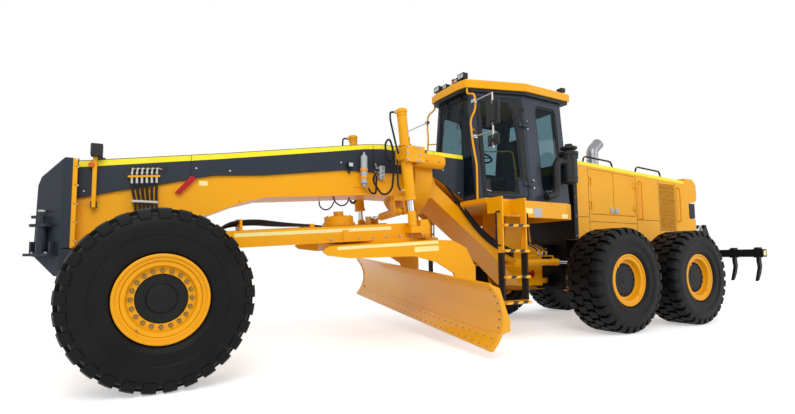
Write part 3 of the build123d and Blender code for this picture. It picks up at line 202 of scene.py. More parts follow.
# %% Bare metals
def bare_metal(name, colour, roughness, grain_scale, strength):
    material, shader = new_finish(name)
    place = add_node(material, "TexCoord").outputs["Object"]
    grain = add_node(material, "TexNoise", Vector=place, Scale=grain_scale, Detail=3.0)
    rough = add_node(material, "MapRange", Value=grain.outputs["Fac"], To_Min=max(0.04,
        roughness - 0.08), To_Max=roughness + 0.1)
    wire(material, rough.outputs[0], shader.inputs["Roughness"])
    bump = add_node(material, "Bump", Strength=strength, Distance=0.001, Height=grain.outputs["Fac"])
    wire(material, bump.outputs[0], shader.inputs["Normal"])
    shader.inputs["Base Color"].default_value = chip(colour)
    shader.inputs["Metallic"].default_value = 1.0
    return material


hard_chrome = bare_metal("hard_chrome_rod", "#D9DADD", 0.14, 30.0, 0.03)
brushed_stainless = bare_metal("brushed_stainless_pipe", "#96969A", 0.42, 60.0, 0.1)
# The nuts' yellow chromate tint is their own; the darker value is painted shade of the deep hub recess
# they sit in.
shade_darkened_chromate_nut = bare_metal("yellow_chromate_nut_painted_shade", "#8E7440", 0.45, 45.0, 0.08)
zinc_plate = bare_metal("zinc_plated_fastener", "#B4B2AC", 0.36, 45.0, 0.08)
worn_steel = bare_metal("ground_edge_steel", "#8C8B88", 0.42, 18.0, 0.12)

# %% [markdown]
# ## Plastics, rubber hose and glass
# Lamp housings, mirrors and the pre-cleaner are moulded black plastic with a fine
# texture. Hydraulic hose has a duller, wrapped rubber skin. The cab's panes are tinted
# laminated glass: thin, clear, a little blue-green, and reflective at a shallow angle.


# %% Plastics and glass
def moulded_plastic(name, colour, roughness, grain_scale=160.0, strength=0.12):
    material, shader = new_finish(name)
    place = add_node(material, "TexCoord").outputs["Object"]
    grain = add_node(material, "TexNoise", Vector=place, Scale=grain_scale, Detail=2.0)
    shade = add_node(material, "TexNoise", Vector=place, Scale=3.0, Detail=2.0)
    base = chip(colour)
    dull = tuple(v * 0.8 for v in base[:3]) + (1.0,)
    blend = add_node(material, "Mix", {"data_type": "RGBA"}, i0=shade.outputs["Fac"], i6=dull, i7=base)
    wire(material, blend.outputs[2], shader.inputs["Base Color"])
    bump = add_node(material, "Bump", Strength=strength, Distance=0.001, Height=grain.outputs["Fac"])
    wire(material, bump.outputs[0], shader.inputs["Normal"])
    shader.inputs["Roughness"].default_value = roughness
    shader.inputs["Specular IOR Level"].default_value = 0.3
    return material


def clear_pane(name, tint):
    """Thin glazing: mostly see-through, mirror-like at a shallow angle."""
    material, shader = new_finish(name)
    shader.inputs["Base Color"].default_value = chip("#18222A")
    shader.inputs["Roughness"].default_value = 0.02
    shader.inputs["IOR"].default_value = 1.5
    through = add_node(material, "BsdfTransparent", Color=chip(tint))
    facing = add_node(material, "LayerWeight", Blend=0.35)
    share = add_node(material, "MapRange", Value=facing.outputs["Facing"], To_Min=0.10, To_Max=0.55)
    mixed = add_node(material, "MixShader", i0=share.outputs[0], i1=through.outputs[0],
        i2=shader.outputs[0])
    wire(material, mixed.outputs[0], material.node_tree.nodes["Material Output"].inputs["Surface"])
    return material


housing_plastic = moulded_plastic("black_abs_housing", "#1B1C1F", 0.5)
hose_rubber = moulded_plastic("wrapped_hose_rubber", "#141416", 0.6, 220.0, 0.3)
cabin_plastic = moulded_plastic("charcoal_cabin_plastic", "#26282C", 0.58)
seat_fabric = moulded_plastic("woven_seat_fabric", "#2E3036", 0.85, 420.0, 0.5)
amber_lens = moulded_plastic("amber_acrylic_lens", "#E2761B", 0.16, 60.0, 0.05)
red_lens = moulded_plastic("red_acrylic_reflector", "#B3161C", 0.22, 60.0, 0.05)
orange_lens = moulded_plastic("orange_acrylic_reflector", "#E0641A", 0.22, 60.0, 0.05)
lime_tape = moulded_plastic("lime_reflective_tape", "#FFF02C", 0.38, 260.0, 0.1)
cream_film = moulded_plastic("cream_vinyl_plate", "#FFF0A0", 0.42, 90.0, 0.03)
# The brown sheet is painted shade: it fills the grille's opening where the dark inside of the hood
# would show.
grille_painted_shade = moulded_plastic("shaded_brown_sheet", "#7A4E0C", 0.6)
silver_film = moulded_plastic("silver_vinyl_plate", "#B7BBC0", 0.4, 90.0, 0.03)
pane_glass = clear_pane("tinted_cab_glass", "#D5E6EA")
lamp_glass = moulded_plastic("prismatic_lamp_lens", "#C9CDD2", 0.12, 90.0, 0.4)
mirror_glass = bare_metal("silvered_mirror", "#C9CED4", 0.08, 4.0, 0.0)
pipe_red = moulded_plastic("red_painted_link", "#A8161A", 0.35)


# %% [markdown]
# Hazard stripes are sprayed or taped in bands of black and yellow, here 95 mm wide and
# slanted. They come from a wave pattern worked out from the stripe's real width.


# %% Hazard stripes
def hazard_stripes(width=0.095):
    material, shader = new_finish("hazard_stripe_tape")
    place = add_node(material, "TexCoord").outputs["Object"]
    split = add_node(material, "SeparateXYZ", Vector=place)
    lean = add_node(material, "Math", {"operation": "ADD"}, i0=split.outputs[0], i1=split.outputs[2])
    count = add_node(material, "Math", {"operation": "MULTIPLY"}, i0=lean.outputs[0],
        i1=1 / (2 * width))
    phase = add_node(material, "Math", {"operation": "FRACT"}, i0=count.outputs[0])
    band = add_node(material, "Math", {"operation": "GREATER_THAN"}, i0=phase.outputs[0], i1=0.5)
    blend = add_node(material, "Mix", {"data_type": "RGBA"}, i0=band.outputs[0], i6=chip("#F2B01A"),
        i7=chip("#141414"))
    wire(material, blend.outputs[2], shader.inputs["Base Color"])
    shader.inputs["Roughness"].default_value = 0.45
    return material


stripe_tape = hazard_stripes()


# %% [markdown]
# ## Carrying finishes over to the CAD
# A CAD node whose shape is right keeps it and only gets a better finish. The table says
# which node is made of what; anything not named stays yellow.

# %% Finishes of the CAD nodes
node_finish = {"nose_weight": cover_enamel, "beam_cover": cover_enamel, "cab_shell": cab_enamel,
    "cab_door_left": cab_enamel, "cab_door_right": cab_enamel, "cab_glass": pane_glass,
    "door_glass_left": pane_glass, "door_glass_right": pane_glass, "engine_block": black_enamel,
    "exhaust_stack": brushed_stainless, "ripper_frame": black_enamel, "ripper_rods": hard_chrome,
    "ripper_barrels": black_enamel, "lift_rods": hard_chrome, "shift_rod": hard_chrome,
    "joint_rod_left": hard_chrome, "joint_rod_right": hard_chrome, "air_cleaner": housing_plastic,
    "work_lamps": housing_plastic, "rear_chassis": black_enamel, "tandem_cases": yellow_enamel,
    "cab_interior": cabin_plastic, "moldboard": blade_enamel,}
for name, node in nodes.items():
    finish = wheel_enamel if name.startswith("rim_") else node_finish.get(name, yellow_enamel)
    for holder in node.material_slots:
        holder.material = finish
print("finished nodes", len(nodes))


# %% [markdown]
# ## Making shapes
# Every added piece is a closed mesh gathered in a bmesh, then turned into an object with
# softened edges. Five helpers cover what a metalworker does: cut a plate, turn a ring,
# draw a bar, bend a pipe and screw in bolts. Two more make a plate on both sides at once
# and a plain collar.


# %% Shape helpers
def facing(axis):
    """Turns +Z to point along an axis."""
    return Vector((0, 0, 1)).rotation_difference(Vector(axis)).to_matrix().to_4x4()


def around(spin, angle):
    """The unit vector at an angle round a turned axis."""
    return spin @ Vector((math.cos(angle), math.sin(angle), 0))


def slab(gathered, x, y, z):
    """A plate or block between two planes each way."""
    centre = [(a + b) / 2 for a, b in (x, y, z)]
    size = [abs(b - a) for a, b in (x, y, z)]
    place = Matrix.Translation(centre) @ Matrix.Diagonal((*size, 1))
    bmesh.ops.create_cube(gathered, size=1.0, matrix=place)


def pair(gathered, x, y, z):
    """The same plate on the left and on the right."""
    for side in (1, -1):
        slab(gathered, x, (side * y[0], side * y[1]), z)


def cut_plate(gathered, outline, through):
    """A flat outline of 3-D points, thickened by a vector."""
    through = Vector(through)
    near = [gathered.verts.new(p) for p in outline]
    far = [gathered.verts.new(Vector(p) + through) for p in outline]
    faces = [gathered.faces.new(near), gathered.faces.new(list(reversed(far)))]
    for i in range(len(outline)):
        j = (i + 1) % len(outline)
        faces.append(gathered.faces.new((near[j], near[i], far[i], far[j])))
    bmesh.ops.recalc_face_normals(gathered, faces=faces)


def side_outline(points, y):
    return [(x, y, z) for x, z in points]


def bar(gathered, start, end, radius, sides=20, end_radius=None):
    """A round bar, or a cone if the end radius differs."""
    start, end = Vector(start), Vector(end)
    run = end - start
    place = Matrix.Translation((start + end) / 2) @ facing(run)
    bmesh.ops.create_cone(gathered, cap_ends=True, segments=sides, radius1=radius,
        radius2=radius if end_radius is None else end_radius, depth=run.length, matrix=place)


def ball(gathered, centre, radius):
    bmesh.ops.create_uvsphere(gathered, u_segments=20, v_segments=12, radius=radius,
        matrix=Matrix.Translation(centre))


def turned_ring(gathered, section, centre, axis, steps=96):
    """Revolves a closed section of (along, radius) points about an axis through centre."""
    place = Matrix.Translation(centre) @ facing(axis)
    rings = []
    for step in range(steps):
        angle = 2 * math.pi * step / steps
        rings.append([gathered.verts.new(place @ Vector((r * math.cos(angle), r * math.sin(angle), a)))
            for a, r in section])
    count = len(section)
    for step in range(steps):
        one, two = rings[step], rings[(step + 1) % steps]
        for i in range(count):
            j = (i + 1) % count
            gathered.faces.new((one[i], two[i], two[j], one[j]))


def collar(gathered, inner, outer, low, high, centre, axis, steps=96):
    """A ring of square section between two places along its axis."""
    turned_ring(gathered, [(low, inner), (low, outer), (high, outer), (high, inner)], centre, axis,
        steps)


def turned_disc(gathered, section, centre, axis, steps=64):
    """Revolves an open section whose two ends lie on the axis."""
    place = Matrix.Translation(centre) @ facing(axis)
    first = gathered.verts.new(place @ Vector((0, 0, section[0][0])))
    last = gathered.verts.new(place @ Vector((0, 0, section[-1][0])))
    rings = []
    for step in range(steps):
        angle = 2 * math.pi * step / steps
        rings.append([gathered.verts.new(place @ Vector((r * math.cos(angle), r * math.sin(angle), a)))
            for a, r in section[1:-1]])
    for step in range(steps):
        one, two = rings[step], rings[(step + 1) % steps]
        gathered.faces.new((first, two[0], one[0]))
        gathered.faces.new((last, one[-1], two[-1]))
        for i in range(len(one) - 1):
            gathered.faces.new((one[i], two[i], two[i + 1], one[i + 1]))


def hex_bolts(gathered, places, axis, across, height):
    """Hexagon heads on washers at each place, standing along an axis."""
    axis = Vector(axis).normalized()
    for place in places:
        foot = Vector(place)
        bar(gathered, foot - axis * 0.002, foot + axis * 0.003, across * 0.8, 16)
        bar(gathered, foot, foot + axis * height, across * 0.58, 6, across * 0.54)


def done(name, gathered, body, finish, bevel=0.0):
    """Turns what was gathered into a finished piece that rides on a body."""
    mesh = bpy.data.meshes.new(name)
    bmesh.ops.recalc_face_normals(gathered, faces=gathered.faces)
    gathered.to_mesh(mesh)
    gathered.free()
    piece = bpy.data.objects.new(name, mesh)
    bpy.context.scene.collection.objects.link(piece)
    mesh.materials.append(finish)
    mesh.shade_smooth()
    mesh.set_sharp_from_angle(angle=math.radians(32))
    if bevel:
        soften = piece.modifiers.new("soften", "BEVEL")
        soften.width = bevel
        soften.segments = 2
        soften.limit_method = "ANGLE"
        soften.angle_limit = math.radians(40)
    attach(piece, body)
    return piece


def bent_pipe(name, route, radius, body, finish, bend=0.06, sides=6):
    """A rigid pipe: straight runs whose corners are bent to a radius."""
    curve = bpy.data.curves.new(name, "CURVE")
    curve.dimensions = "3D"
    curve.bevel_depth = radius
    curve.bevel_resolution = sides // 2
    curve.use_fill_caps = True
    route = [Vector(p) for p in route]
    line = curve.splines.new("BEZIER")
    knots = [(route[0], None, None)]
    for before, corner, after in zip(route, route[1:], route[2:]):
        back, on = before - corner, after - corner
        reach = min(bend, back.length * 0.48, on.length * 0.48)
        start, end = corner + back.normalized() * reach, corner + on.normalized() * reach
        knots += [(start, None, start.lerp(corner, 0.56)), (end, end.lerp(corner, 0.56), None)]
    knots.append((route[-1], None, None))
    line.bezier_points.add(len(knots) - 1)
    for point, (place, handle_in, handle_out) in zip(line.bezier_points, knots):
        point.co = place
        point.handle_left_type = point.handle_right_type = "FREE"
        point.handle_left = handle_in or place
        point.handle_right = handle_out or place
    line.resolution_u = 6
    piece = bpy.data.objects.new(name, curve)
    bpy.context.scene.collection.objects.link(piece)
    curve.materials.append(finish)
    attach(piece, body)
    return piece

# %% [markdown]
# ## Tyres
# A grader's tyre is a radial of about 1.64 m with deep blocks: a row of shoulder lugs on
# each side and two staggered rows between them. The carcass is one turned section with
# the guard ribs of its sidewall, and each block is a small closed solid whose stations
# across the tread say how long it is there and how high. Softened block edges give the
# tread its highlights.

# %% Tread tables
LUG_COUNT = 29
LUG_TURN = 2 * math.pi / LUG_COUNT
TYRE_RADIUS = 0.820
WHEEL_Y = 1.389
# carcass half section, inner bead to crown: across, radius
CARCASS = [(0.225, 0.3625), (0.225, 0.404), (0.243, 0.412), (0.262, 0.424), (0.274, 0.442),
    (0.279, 0.462), (0.284, 0.470), (0.283, 0.500), (0.287, 0.545), (0.291, 0.570), (0.299, 0.577),
    (0.302, 0.600), (0.303, 0.640), (0.300, 0.680), (0.293, 0.712), (0.280, 0.742), (0.262, 0.760),
    (0.232, 0.772), (0.150, 0.776), (0.0, 0.778)]
# blocks: offset in lug turns, then stations of (across, low edge, high edge, top, base)
TREAD_ROWS = [(0.0, [(0.152, -0.36, 0.26, 0.818, 0.760), (0.235, -0.33, 0.33, 0.818, 0.760),
    (0.280, -0.32, 0.32, 0.798, 0.735), (0.299, -0.30, 0.30, 0.742, 0.712)]),
    (0.42, [(0.006, -0.34, 0.40, 0.820, 0.765), (0.070, -0.42, 0.32, 0.820, 0.765),
    (0.138, -0.30, 0.26, 0.819, 0.765)])]


# %% Build the tyres
def tread_block(gathered, centre, side, hand, offset, stations):
    """One closed block: a grid of three edges along the tread at every station across it."""
    tops, bases = [], []
    for across, low, high, top, base in stations:
        for radius, row in ((top, tops), (base, bases)):
            line = []
            for share in (low, (low + high) / 2, high):
                angle = (offset + hand * share) * LUG_TURN
                line.append(gathered.verts.new(Vector(centre) + Vector((radius * math.sin(angle),
                    side * hand * across, radius * math.cos(angle)))))
            row.append(line)
    for a, b in zip(range(len(stations)), range(1, len(stations))):
        for i in (0, 1):
            gathered.faces.new((tops[a][i], tops[a][i + 1], tops[b][i + 1], tops[b][i]))
            gathered.faces.new((bases[a][i], bases[b][i], bases[b][i + 1], bases[a][i + 1]))
        for i in (0, 2):
            gathered.faces.new((tops[a][i], tops[b][i], bases[b][i], bases[a][i]))
    for end in (0, -1):
        for i in (0, 1):
            gathered.faces.new((tops[end][i], bases[end][i], bases[end][i + 1], tops[end][i + 1]))


def dress_tyre(row, hand, x):
    side = 1 if hand == "left" else -1
    centre = (x, side * WHEEL_Y, TYRE_RADIUS)
    gathered = bmesh.new()
    half = CARCASS + [(-a, r) for a, r in reversed(CARCASS[:-1])]
    turned_ring(gathered, half, centre, (0, 1, 0), 104)
    for step in range(LUG_COUNT):
        for hand_side in (1, -1):
            for offset, stations in TREAD_ROWS:
                tread_block(gathered, centre, side, hand_side, step + offset
                    + (0.5 if hand_side < 0 else 0.0), stations)
    tyre = done(f"tyre_{row}_{hand}_tread", gathered, f"wheel_{row}_{hand}", tyre_finish, 0.005)
    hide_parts(f"tyre_{row}_{hand}")


axles = [("front", 7.540), ("middle", 0.973), ("rear", -0.973)]
hands = [("left", 1), ("right", -1)]
for row, x in axles:
    for hand, side in hands:
        dress_tyre(row, hand, x)
print("tyres dressed, pitch of the lugs", round(LUG_TURN * TYRE_RADIUS * 1000), "mm")

# %% [markdown]
# ## Wheels
# The yellow rims are multi-piece steel: a lock ring snaps over the outer flange, a ring
# of nuts holds the front rim to its hub, and the hub itself is dark grey. The rear rims
# are deep cones with the planetary hub's cover at the bottom. Each wheel gets its rings,
# nuts, hub cover and valve.


# %% Rims, nuts and hubs
def dress_rim(row, hand, x, side):
    body = f"wheel_{row}_{hand}"
    centre = Vector((x, side * WHEEL_Y, TYRE_RADIUS))
    axis = Vector((0, side, 0))
    spin = facing(axis)
    rings = bmesh.new()
    turned_ring(rings, [(0.244, 0.374), (0.256, 0.378), (0.259, 0.392), (0.254, 0.404), (0.244, 0.404)],
        centre, axis)
    if row == "front":
        lip = 0.3475
        turned_ring(rings, [(0.145, 0.222), (0.162, 0.224), (0.164, 0.282), (0.205, 0.292),
            (0.216, 0.300), (0.222, 0.335), (0.150, 0.337)], centre, axis)
    else:
        lip = 0.322
        turned_ring(rings, [(0.0, 0.262), (0.164, 0.262), (0.166, 0.268), (0.168, 0.303), (0.0, 0.269)],
            centre, axis)
        for angle in (2.4, 2.4 + math.pi):
            notch = centre + axis * 0.225 + around(spin, angle) * 0.335
            bar(rings, notch - axis * 0.05, notch + axis * 0.022, 0.026, 12)
    turned_ring(rings, [(0.216, lip - 0.012), (0.236, lip - 0.004), (0.240, lip + 0.010),
        (0.232, lip + 0.022), (0.214, lip + 0.014)], centre, axis)
    done(f"rim_{row}_{hand}_rings", rings, body, wheel_enamel, 0.002)

    hub = bmesh.new()
    if row == "front":
        section = [(0.058, 0), (0.058, 0.222), (0.146, 0.222), (0.150, 0.214), (0.138, 0.136),
            (0.150, 0.128), (0.154, 0.116), (0.157, 0.050), (0.158, 0)]
    else:
        section = [(-0.012, 0), (-0.012, 0.261), (0.166, 0.261), (0.172, 0.252), (0.174, 0.150),
            (0.180, 0.142), (0.182, 0.070), (0.188, 0.062), (0.188, 0)]
    turned_disc(hub, section, centre, axis)
    done(f"hub_{row}_{hand}_cover", hub, body, black_enamel, 0.002)

    nuts = bmesh.new()
    if row == "front":
        # Front nuts: real yellow chromate tint, darkened as painted shade of the hub recess.
        count, ring, foot, across, height, finish = 20, 0.252, 0.163, 0.028, 0.022, shade_darkened_chromate_nut
    else:
        count, ring, foot, across, height, finish = 16, 0.228, 0.171, 0.026, 0.014, black_enamel
    places = [centre + axis * foot + around(spin, a) * ring for a in (2 * math.pi * i / count
        for i in range(count))]
    hex_bolts(nuts, places, axis, across, height)
    done(f"wheel_{row}_{hand}_nuts", nuts, body, finish, 0.001)

    valve = bmesh.new()
    foot = centre + axis * (0.215 if row == "front" else 0.20) + (spin @ Vector((0.6, 0.8, 0))) * 0.338
    bar(valve, foot, foot + axis * 0.045 - (foot - centre - axis * (foot - centre).dot(axis)) * 0.08,
        0.006, 10)
    done(f"wheel_{row}_{hand}_valve", valve, body, zinc_plate)


for row, x in axles:
    for hand, side in hands:
        dress_rim(row, hand, x, side)

# %% [markdown]
# ## Engine hood
# The hood is folded sheet steel: panels meet at dark gaps, small domed screws run along
# their edges, the doors have flush latches, and a pale deck covers the top between two
# reflective tapes. The grille's opening holds a woven screen. Gaps are thin dark inlays
# and screws are half balls, each gathered into one piece.


# %% Hood top, seams and screws
HOOD_HALF = 0.650
HOOD_REAR_X, HOOD_REAR_TOP, HOOD_SLOPE = -2.470, 2.770, 0.130 / 3.320


def hood_top(x):
    """Height of the hood's sloping top at a station along the machine."""
    return HOOD_REAR_TOP + (x - HOOD_REAR_X) * HOOD_SLOPE


def on_hood(low, high, near, far):
    """Corners between two stations; near and far give half width and height off the slope."""
    corners = ((low, near), (high, near), (high, far), (low, far))
    return [(x, y, hood_top(x) + off) for x, (y, off) in corners]


deck = bmesh.new()
for low, high in ((-0.28, 0.80), (-1.42, -0.66), (-2.42, -1.50)):
    cut_plate(deck, on_hood(low, high, (-0.52, -0.002), (0.52, -0.002)), (0, 0, 0.018))
done("hood_deck_panels", deck, "rear_frame", top_grey_enamel, 0.004)

TAPE_ENDS = (-2.46, 0.84)
tapes = bmesh.new()
for side in (1, -1):
    cut_plate(tapes, on_hood(*TAPE_ENDS, (side * 0.55, -0.001), (side * 0.648, -0.001)), (0, 0, 0.003))
    cut_plate(tapes, on_hood(*TAPE_ENDS, (side * 0.6495, -0.062), (side * 0.6495, 0.001)),
        (0, side * 0.003, 0))
done("hood_reflective_tape", tapes, "rear_frame", lime_tape)

seams, screws = bmesh.new(), bmesh.new()
seam_lines = [(0.545, 1.52, 0.545, 2.80), (-0.83, 1.52, -0.83, 2.76), (-1.56, 1.62, -1.56, 2.72),
    (-2.14, 1.62, -2.14, 2.70), (0.545, 1.90, 0.84, 1.90), (-0.83, 1.90, -1.56, 1.90),
    (0.545, 1.82, -0.83, 1.82)]
for side in (1, -1):
    for x1, z1, x2, z2 in seam_lines:
        slab(seams, sorted((x1 - 0.004, x2 + 0.004)), (side * 0.646, side * 0.6512),
            sorted((z1 - 0.004, z2 + 0.004)))
    rows = [(0.60, 1.96, 0.0, 0.20, 5), (0.80, 1.96, 0.0, 0.20, 5), (-0.88, 1.96, -0.10, 0.0, 1),
        (-1.48, 1.96, 0.0, 0.22, 4), (0.50, 1.865, -0.20, 0.0, 7), (-2.20, 1.66, 0.0, 0.22, 5)]
    for x, z, step_x, step_z, count in rows:
        for i in range(count):
            ball(screws, (x + step_x * i, side * 0.650, z + step_z * i), 0.009)
done("hood_panel_gaps", seams, "rear_frame", black_enamel)
done("hood_panel_screws", screws, "rear_frame", zinc_plate)

for hand, side in hands:
    for leaf, x in (("front", -0.075), ("rear", -0.225)):
        lock = bmesh.new()
        slab(lock, (x - 0.046, x + 0.046), (side * 0.648, side * 0.667), (1.990, 2.080))
        slab(lock, (x - 0.026, x + 0.026), (side * 0.665, side * 0.673), (2.005, 2.065))
        done(f"hood_latch_{leaf}_{hand}", lock, f"hood_door_{leaf}_{hand}", silver_film,
            0.003)
        band = bmesh.new()
        low, high = (-0.142, 0.480) if leaf == "front" else (-0.780, -0.158)
        slab(band, (low + 0.03, high - 0.03), (side * 0.6485, side * 0.6525), (1.975, 1.981))
        slab(band, (low + 0.03, high - 0.03), (side * 0.6485, side * 0.6525),
            (hood_top(low) - 0.145, hood_top(low) - 0.139))
        done(f"hood_door_pressing_{leaf}_{hand}", band, f"hood_door_{leaf}_{hand}", yellow_enamel)

# %% [markdown]
# The screen in the grille is woven wire, about 2 mm wire on a 12 mm pitch on the real
# thing; it is drawn as 6 mm bars on a 24 mm pitch so that it still reads as a mesh.

# %% Grille screens and tail lamps
screen = bmesh.new()
for i in range(21):
    x = -2.100 + 0.024 * i
    pair(screen, (x, x + 0.006), (0.6470, 0.6515), (1.690, 2.655))
for i in range(40):
    z = 1.700 + 0.024 * i
    pair(screen, (-2.108, -1.592), (0.6475, 0.6510), (z, z + 0.006))
done("hood_grille_screen", screen, "rear_frame", wheel_enamel)
# Behind the screen a dark yellow-brown sheet stands in for the shadowed space inside the hood: painted
# shade.
grille_shade = bmesh.new()
pair(grille_shade, (-2.109, -1.591), (0.6440, 0.6480), (1.690, 2.659))
done("hood_grille_painted_shade", grille_shade, "rear_frame", grille_painted_shade)

lamps = bmesh.new()
pair(lamps, (-2.838, -2.648), (0.40, 0.638), (1.99, 2.312))
pair(lamps, (-2.838, -2.610), (0.630, 0.6530), (1.992, 2.310))
done("tail_lamp_housing", lamps, "rear_frame", housing_plastic, 0.01)
cells = bmesh.new()
for column in range(3):
    for line in range(4):
        x = -2.822 + column * 0.068
        z = 2.02 + line * 0.068
        pair(cells, (x, x + 0.054), (0.640, 0.6570), (z, z + 0.054))
for line in range(3):
    y = 0.43 + line * 0.065
    pair(cells, (-2.848, -2.832), (y, y + 0.05), (2.06, 2.24))
done("tail_lamp_cells", cells, "rear_frame", cabin_plastic, 0.004)
tail = bmesh.new()
for side in (1, -1):
    for z in (2.06, 2.16):
        bar(tail, (-2.846, side * 0.60, z), (-2.856, side * 0.60, z), 0.03, 20)
done("tail_lamp_lenses", tail, "rear_frame", red_lens)

rear_grille = bmesh.new()
for i in range(11):
    z = 1.60 + i * 0.033
    slab(rear_grille, (-2.862, -2.846), (-0.44, 0.44), (z, z + 0.014))
slab(rear_grille, (-2.858, -2.846), (-0.46, 0.46), (1.58, 1.975))
done("tail_grille", rear_grille, "rear_frame", housing_plastic, 0.003)

# %% [markdown]
# ## Exhaust
# Two band clamps hold the bent outlet to its upright, and a flange finishes it. A black disc closes the
# pipe's end: painted shade of the open bore.

# %% Exhaust clamps
stack = bmesh.new()
foot = hood_top(-0.460)
collar(stack, 0.108, 0.118, 0.0, 0.03, (-0.46, 0, foot + 0.30), UP, 40)
collar(stack, 0.108, 0.150, 0.0, 0.016, (-0.46, 0, foot + 0.03), UP, 40)
out = Vector((-0.765, 0, 0.644))
tip = Vector((-0.650, 0, foot + 0.660))
collar(stack, 0.104, 0.114, -0.012, 0.004, tip, out, 40)
done("exhaust_clamps", stack, "rear_frame", zinc_plate, 0.001)
# A black disc closes the pipe's end: painted shade of the open bore.
bore_shade = bmesh.new()
turned_disc(bore_shade, [(-0.004, 0), (-0.004, 0.103), (0.002, 0.103), (0.002, 0)], tip, out, 40)
done("exhaust_bore_painted_shade", bore_shade, "rear_frame", black_enamel)

# %% [markdown]
# ## Ripper
# The ripper is a flame-cut black beam with seven shanks. Each shank has a pinned cast
# point, and the beam's ends carry a small yellow marker.

# %% Ripper fittings
ripper = bmesh.new()
for i in range(7):
    y = -1.335 + 0.445 * i
    for z in (1.155, 1.325):
        slab(ripper, (-3.868, -3.715), (y - 0.052, y + 0.052), (z, z + 0.020))
    bar(ripper, (-3.865, y, 1.25), (-3.888, y, 1.25), 0.028, 16)
done("ripper_shank_pockets", ripper, "ripper", black_enamel, 0.004)
marks = bmesh.new()
pair(marks, (-3.86, -3.76), (1.4492, 1.4518), (1.20, 1.30))
done("ripper_end_markers", marks, "ripper", cream_film)

# %% [markdown]
# ## Beam cover
# A dark sheet cover runs along both sides of the nose beam, with a reflective tape along
# its top edge, dome screws, upright joint gaps and an oval slot where the front hoses
# come out through steel elbows.

# %% Cover details
beam_top = [(8.330, 2.222), (6.810, 2.462), (4.870, 2.792), (4.600, 2.822), (3.110, 2.812)]


def along_beam(x):
    """Height of the cover's top edge at a station."""
    for (x1, z1), (x2, z2) in zip(beam_top, beam_top[1:]):
        if x2 <= x <= x1:
            return z1 + (z2 - z1) * (x - x1) / (x2 - x1) + 0.015
    return beam_top[-1][1] + 0.015


TAPE_FACE = 0.3294
cover_tape = bmesh.new()
for side in (1, -1):
    for low, high in ((3.13, 3.82), (4.20, 4.60), (4.60, 4.87), (4.87, 6.81), (6.81, 8.31)):
        edge = [(x, side * TAPE_FACE, along_beam(x) - drop) for x, drop in ((low, 0.072), (high, 0.072),
            (high, 0.008), (low, 0.008))]
        cut_plate(cover_tape, edge, (0, side * 0.003, 0))
done("cover_reflective_tape", cover_tape, "front_frame", lime_tape)

gaps, domes = bmesh.new(), bmesh.new()
for side in (1, -1):
    for x, low in ((7.186, 2.17), (4.75, 2.43), (3.69, 2.46)):
        slab(gaps, (x - 0.003, x + 0.003), (side * 0.328, side * 0.3325), (low, along_beam(x) - 0.005))
    for x, drop in ((7.13, 0.17), (5.25, 0.24), (6.74, 0.23), (3.52, 0.28), (3.22, 0.62),
            (8.255, 0.34)):
        ball(domes, (x, side * 0.330, along_beam(x) - drop), 0.016)
done("cover_joint_gaps", gaps, "front_frame", black_enamel)
done("cover_dome_screws", domes, "front_frame", zinc_plate)

# The slot is an opening in the cover; a thin black plate fills its outline as painted shade of the
# beam's inside.
SLOT_ENDS = ((7.790, 2.187), (7.470, 2.220))
slot_shade = bmesh.new()
for side in (1, -1):
    outline = []
    for (cx, cz), begin in zip(SLOT_ENDS, (-math.pi / 2, math.pi / 2)):
        for i in range(9):
            angle = begin + math.pi * i / 8
            outline.append((cx + 0.044 * math.cos(angle), side * 0.3295, cz + 0.044 * math.sin(angle)))
    cut_plate(slot_shade, outline, (0, side * 0.003, 0))
done("cover_hose_slot_painted_shade", slot_shade, "front_frame", housing_plastic)

# %% [markdown]
# Six pressure hoses leave each slot. Each has a steel elbow, a crimped ferrule and a
# wrapped rubber hose that runs down to a clamp plate behind the axle: fixed at both ends,
# so none of them hangs free.

# %% Front hoses and elbows
def elbow_place(i):
    """Station and height of an elbow in its slot, counted from the front."""
    x = 7.805 - 0.050 * i
    return x, 2.178 + (7.80 - x) * 0.10


elbows, rail, clamp = bmesh.new(), bmesh.new(), bmesh.new()
for side in (1, -1):
    for i in range(6):
        x, z = elbow_place(i)
        y = side * 0.356
        bar(elbows, (x - 0.050, side * 0.325, z + 0.012), (x - 0.010, y, z + 0.014), 0.0125, 12)
        ball(elbows, (x - 0.006, y, z + 0.010), 0.0145)
        bar(elbows, (x - 0.004, y, z + 0.008), (x, y, z - 0.060), 0.0125, 12)
        bar(elbows, (x, y, z - 0.028), (x, y, z - 0.048), 0.019, 6)
        bar(elbows, (x, y, z - 0.078), (x, y, z - 0.100), 0.020, 6)
        bar(elbows, (x, y, z - 0.100), (x - 0.002, y, z - 0.155), 0.0165, 14)
    cut_plate(rail, side_outline([(7.845, 2.108), (7.520, 2.138), (7.520, 2.116), (7.845, 2.086)],
        side * 0.325), (0, side * 0.055, 0))
    slab(clamp, (7.535, 7.800), (side * 0.300, side * 0.376), (1.812, 1.840))
done("hose_elbows", elbows, "front_frame", zinc_plate, 0.001)
done("hose_rails", rail, "front_frame", yellow_enamel, 0.003)
done("hose_clamp_bars", clamp, "front_frame", zinc_plate, 0.003)
for hand, side in hands:
    for i in range(6):
        x, z = elbow_place(i)
        low = 7.765 - 0.043 * i
        bent_pipe(f"front_hose_{hand}_{i + 1}", [(x - 0.002, side * 0.356, z - 0.150),
            (x * 0.6 + low * 0.4, side * 0.358, 1.93), (low, side * 0.352, 1.83),
            (low - 0.02, side * 0.350, 1.56)], 0.0145, "front_frame", hose_rubber, 0.08)

# %% [markdown]
# ## Reflectors, plates and small boxes on the beam
# The red reflector is set on a slanted pocket, an orange one marks the corner, and the
# plates that would carry words stay blank.

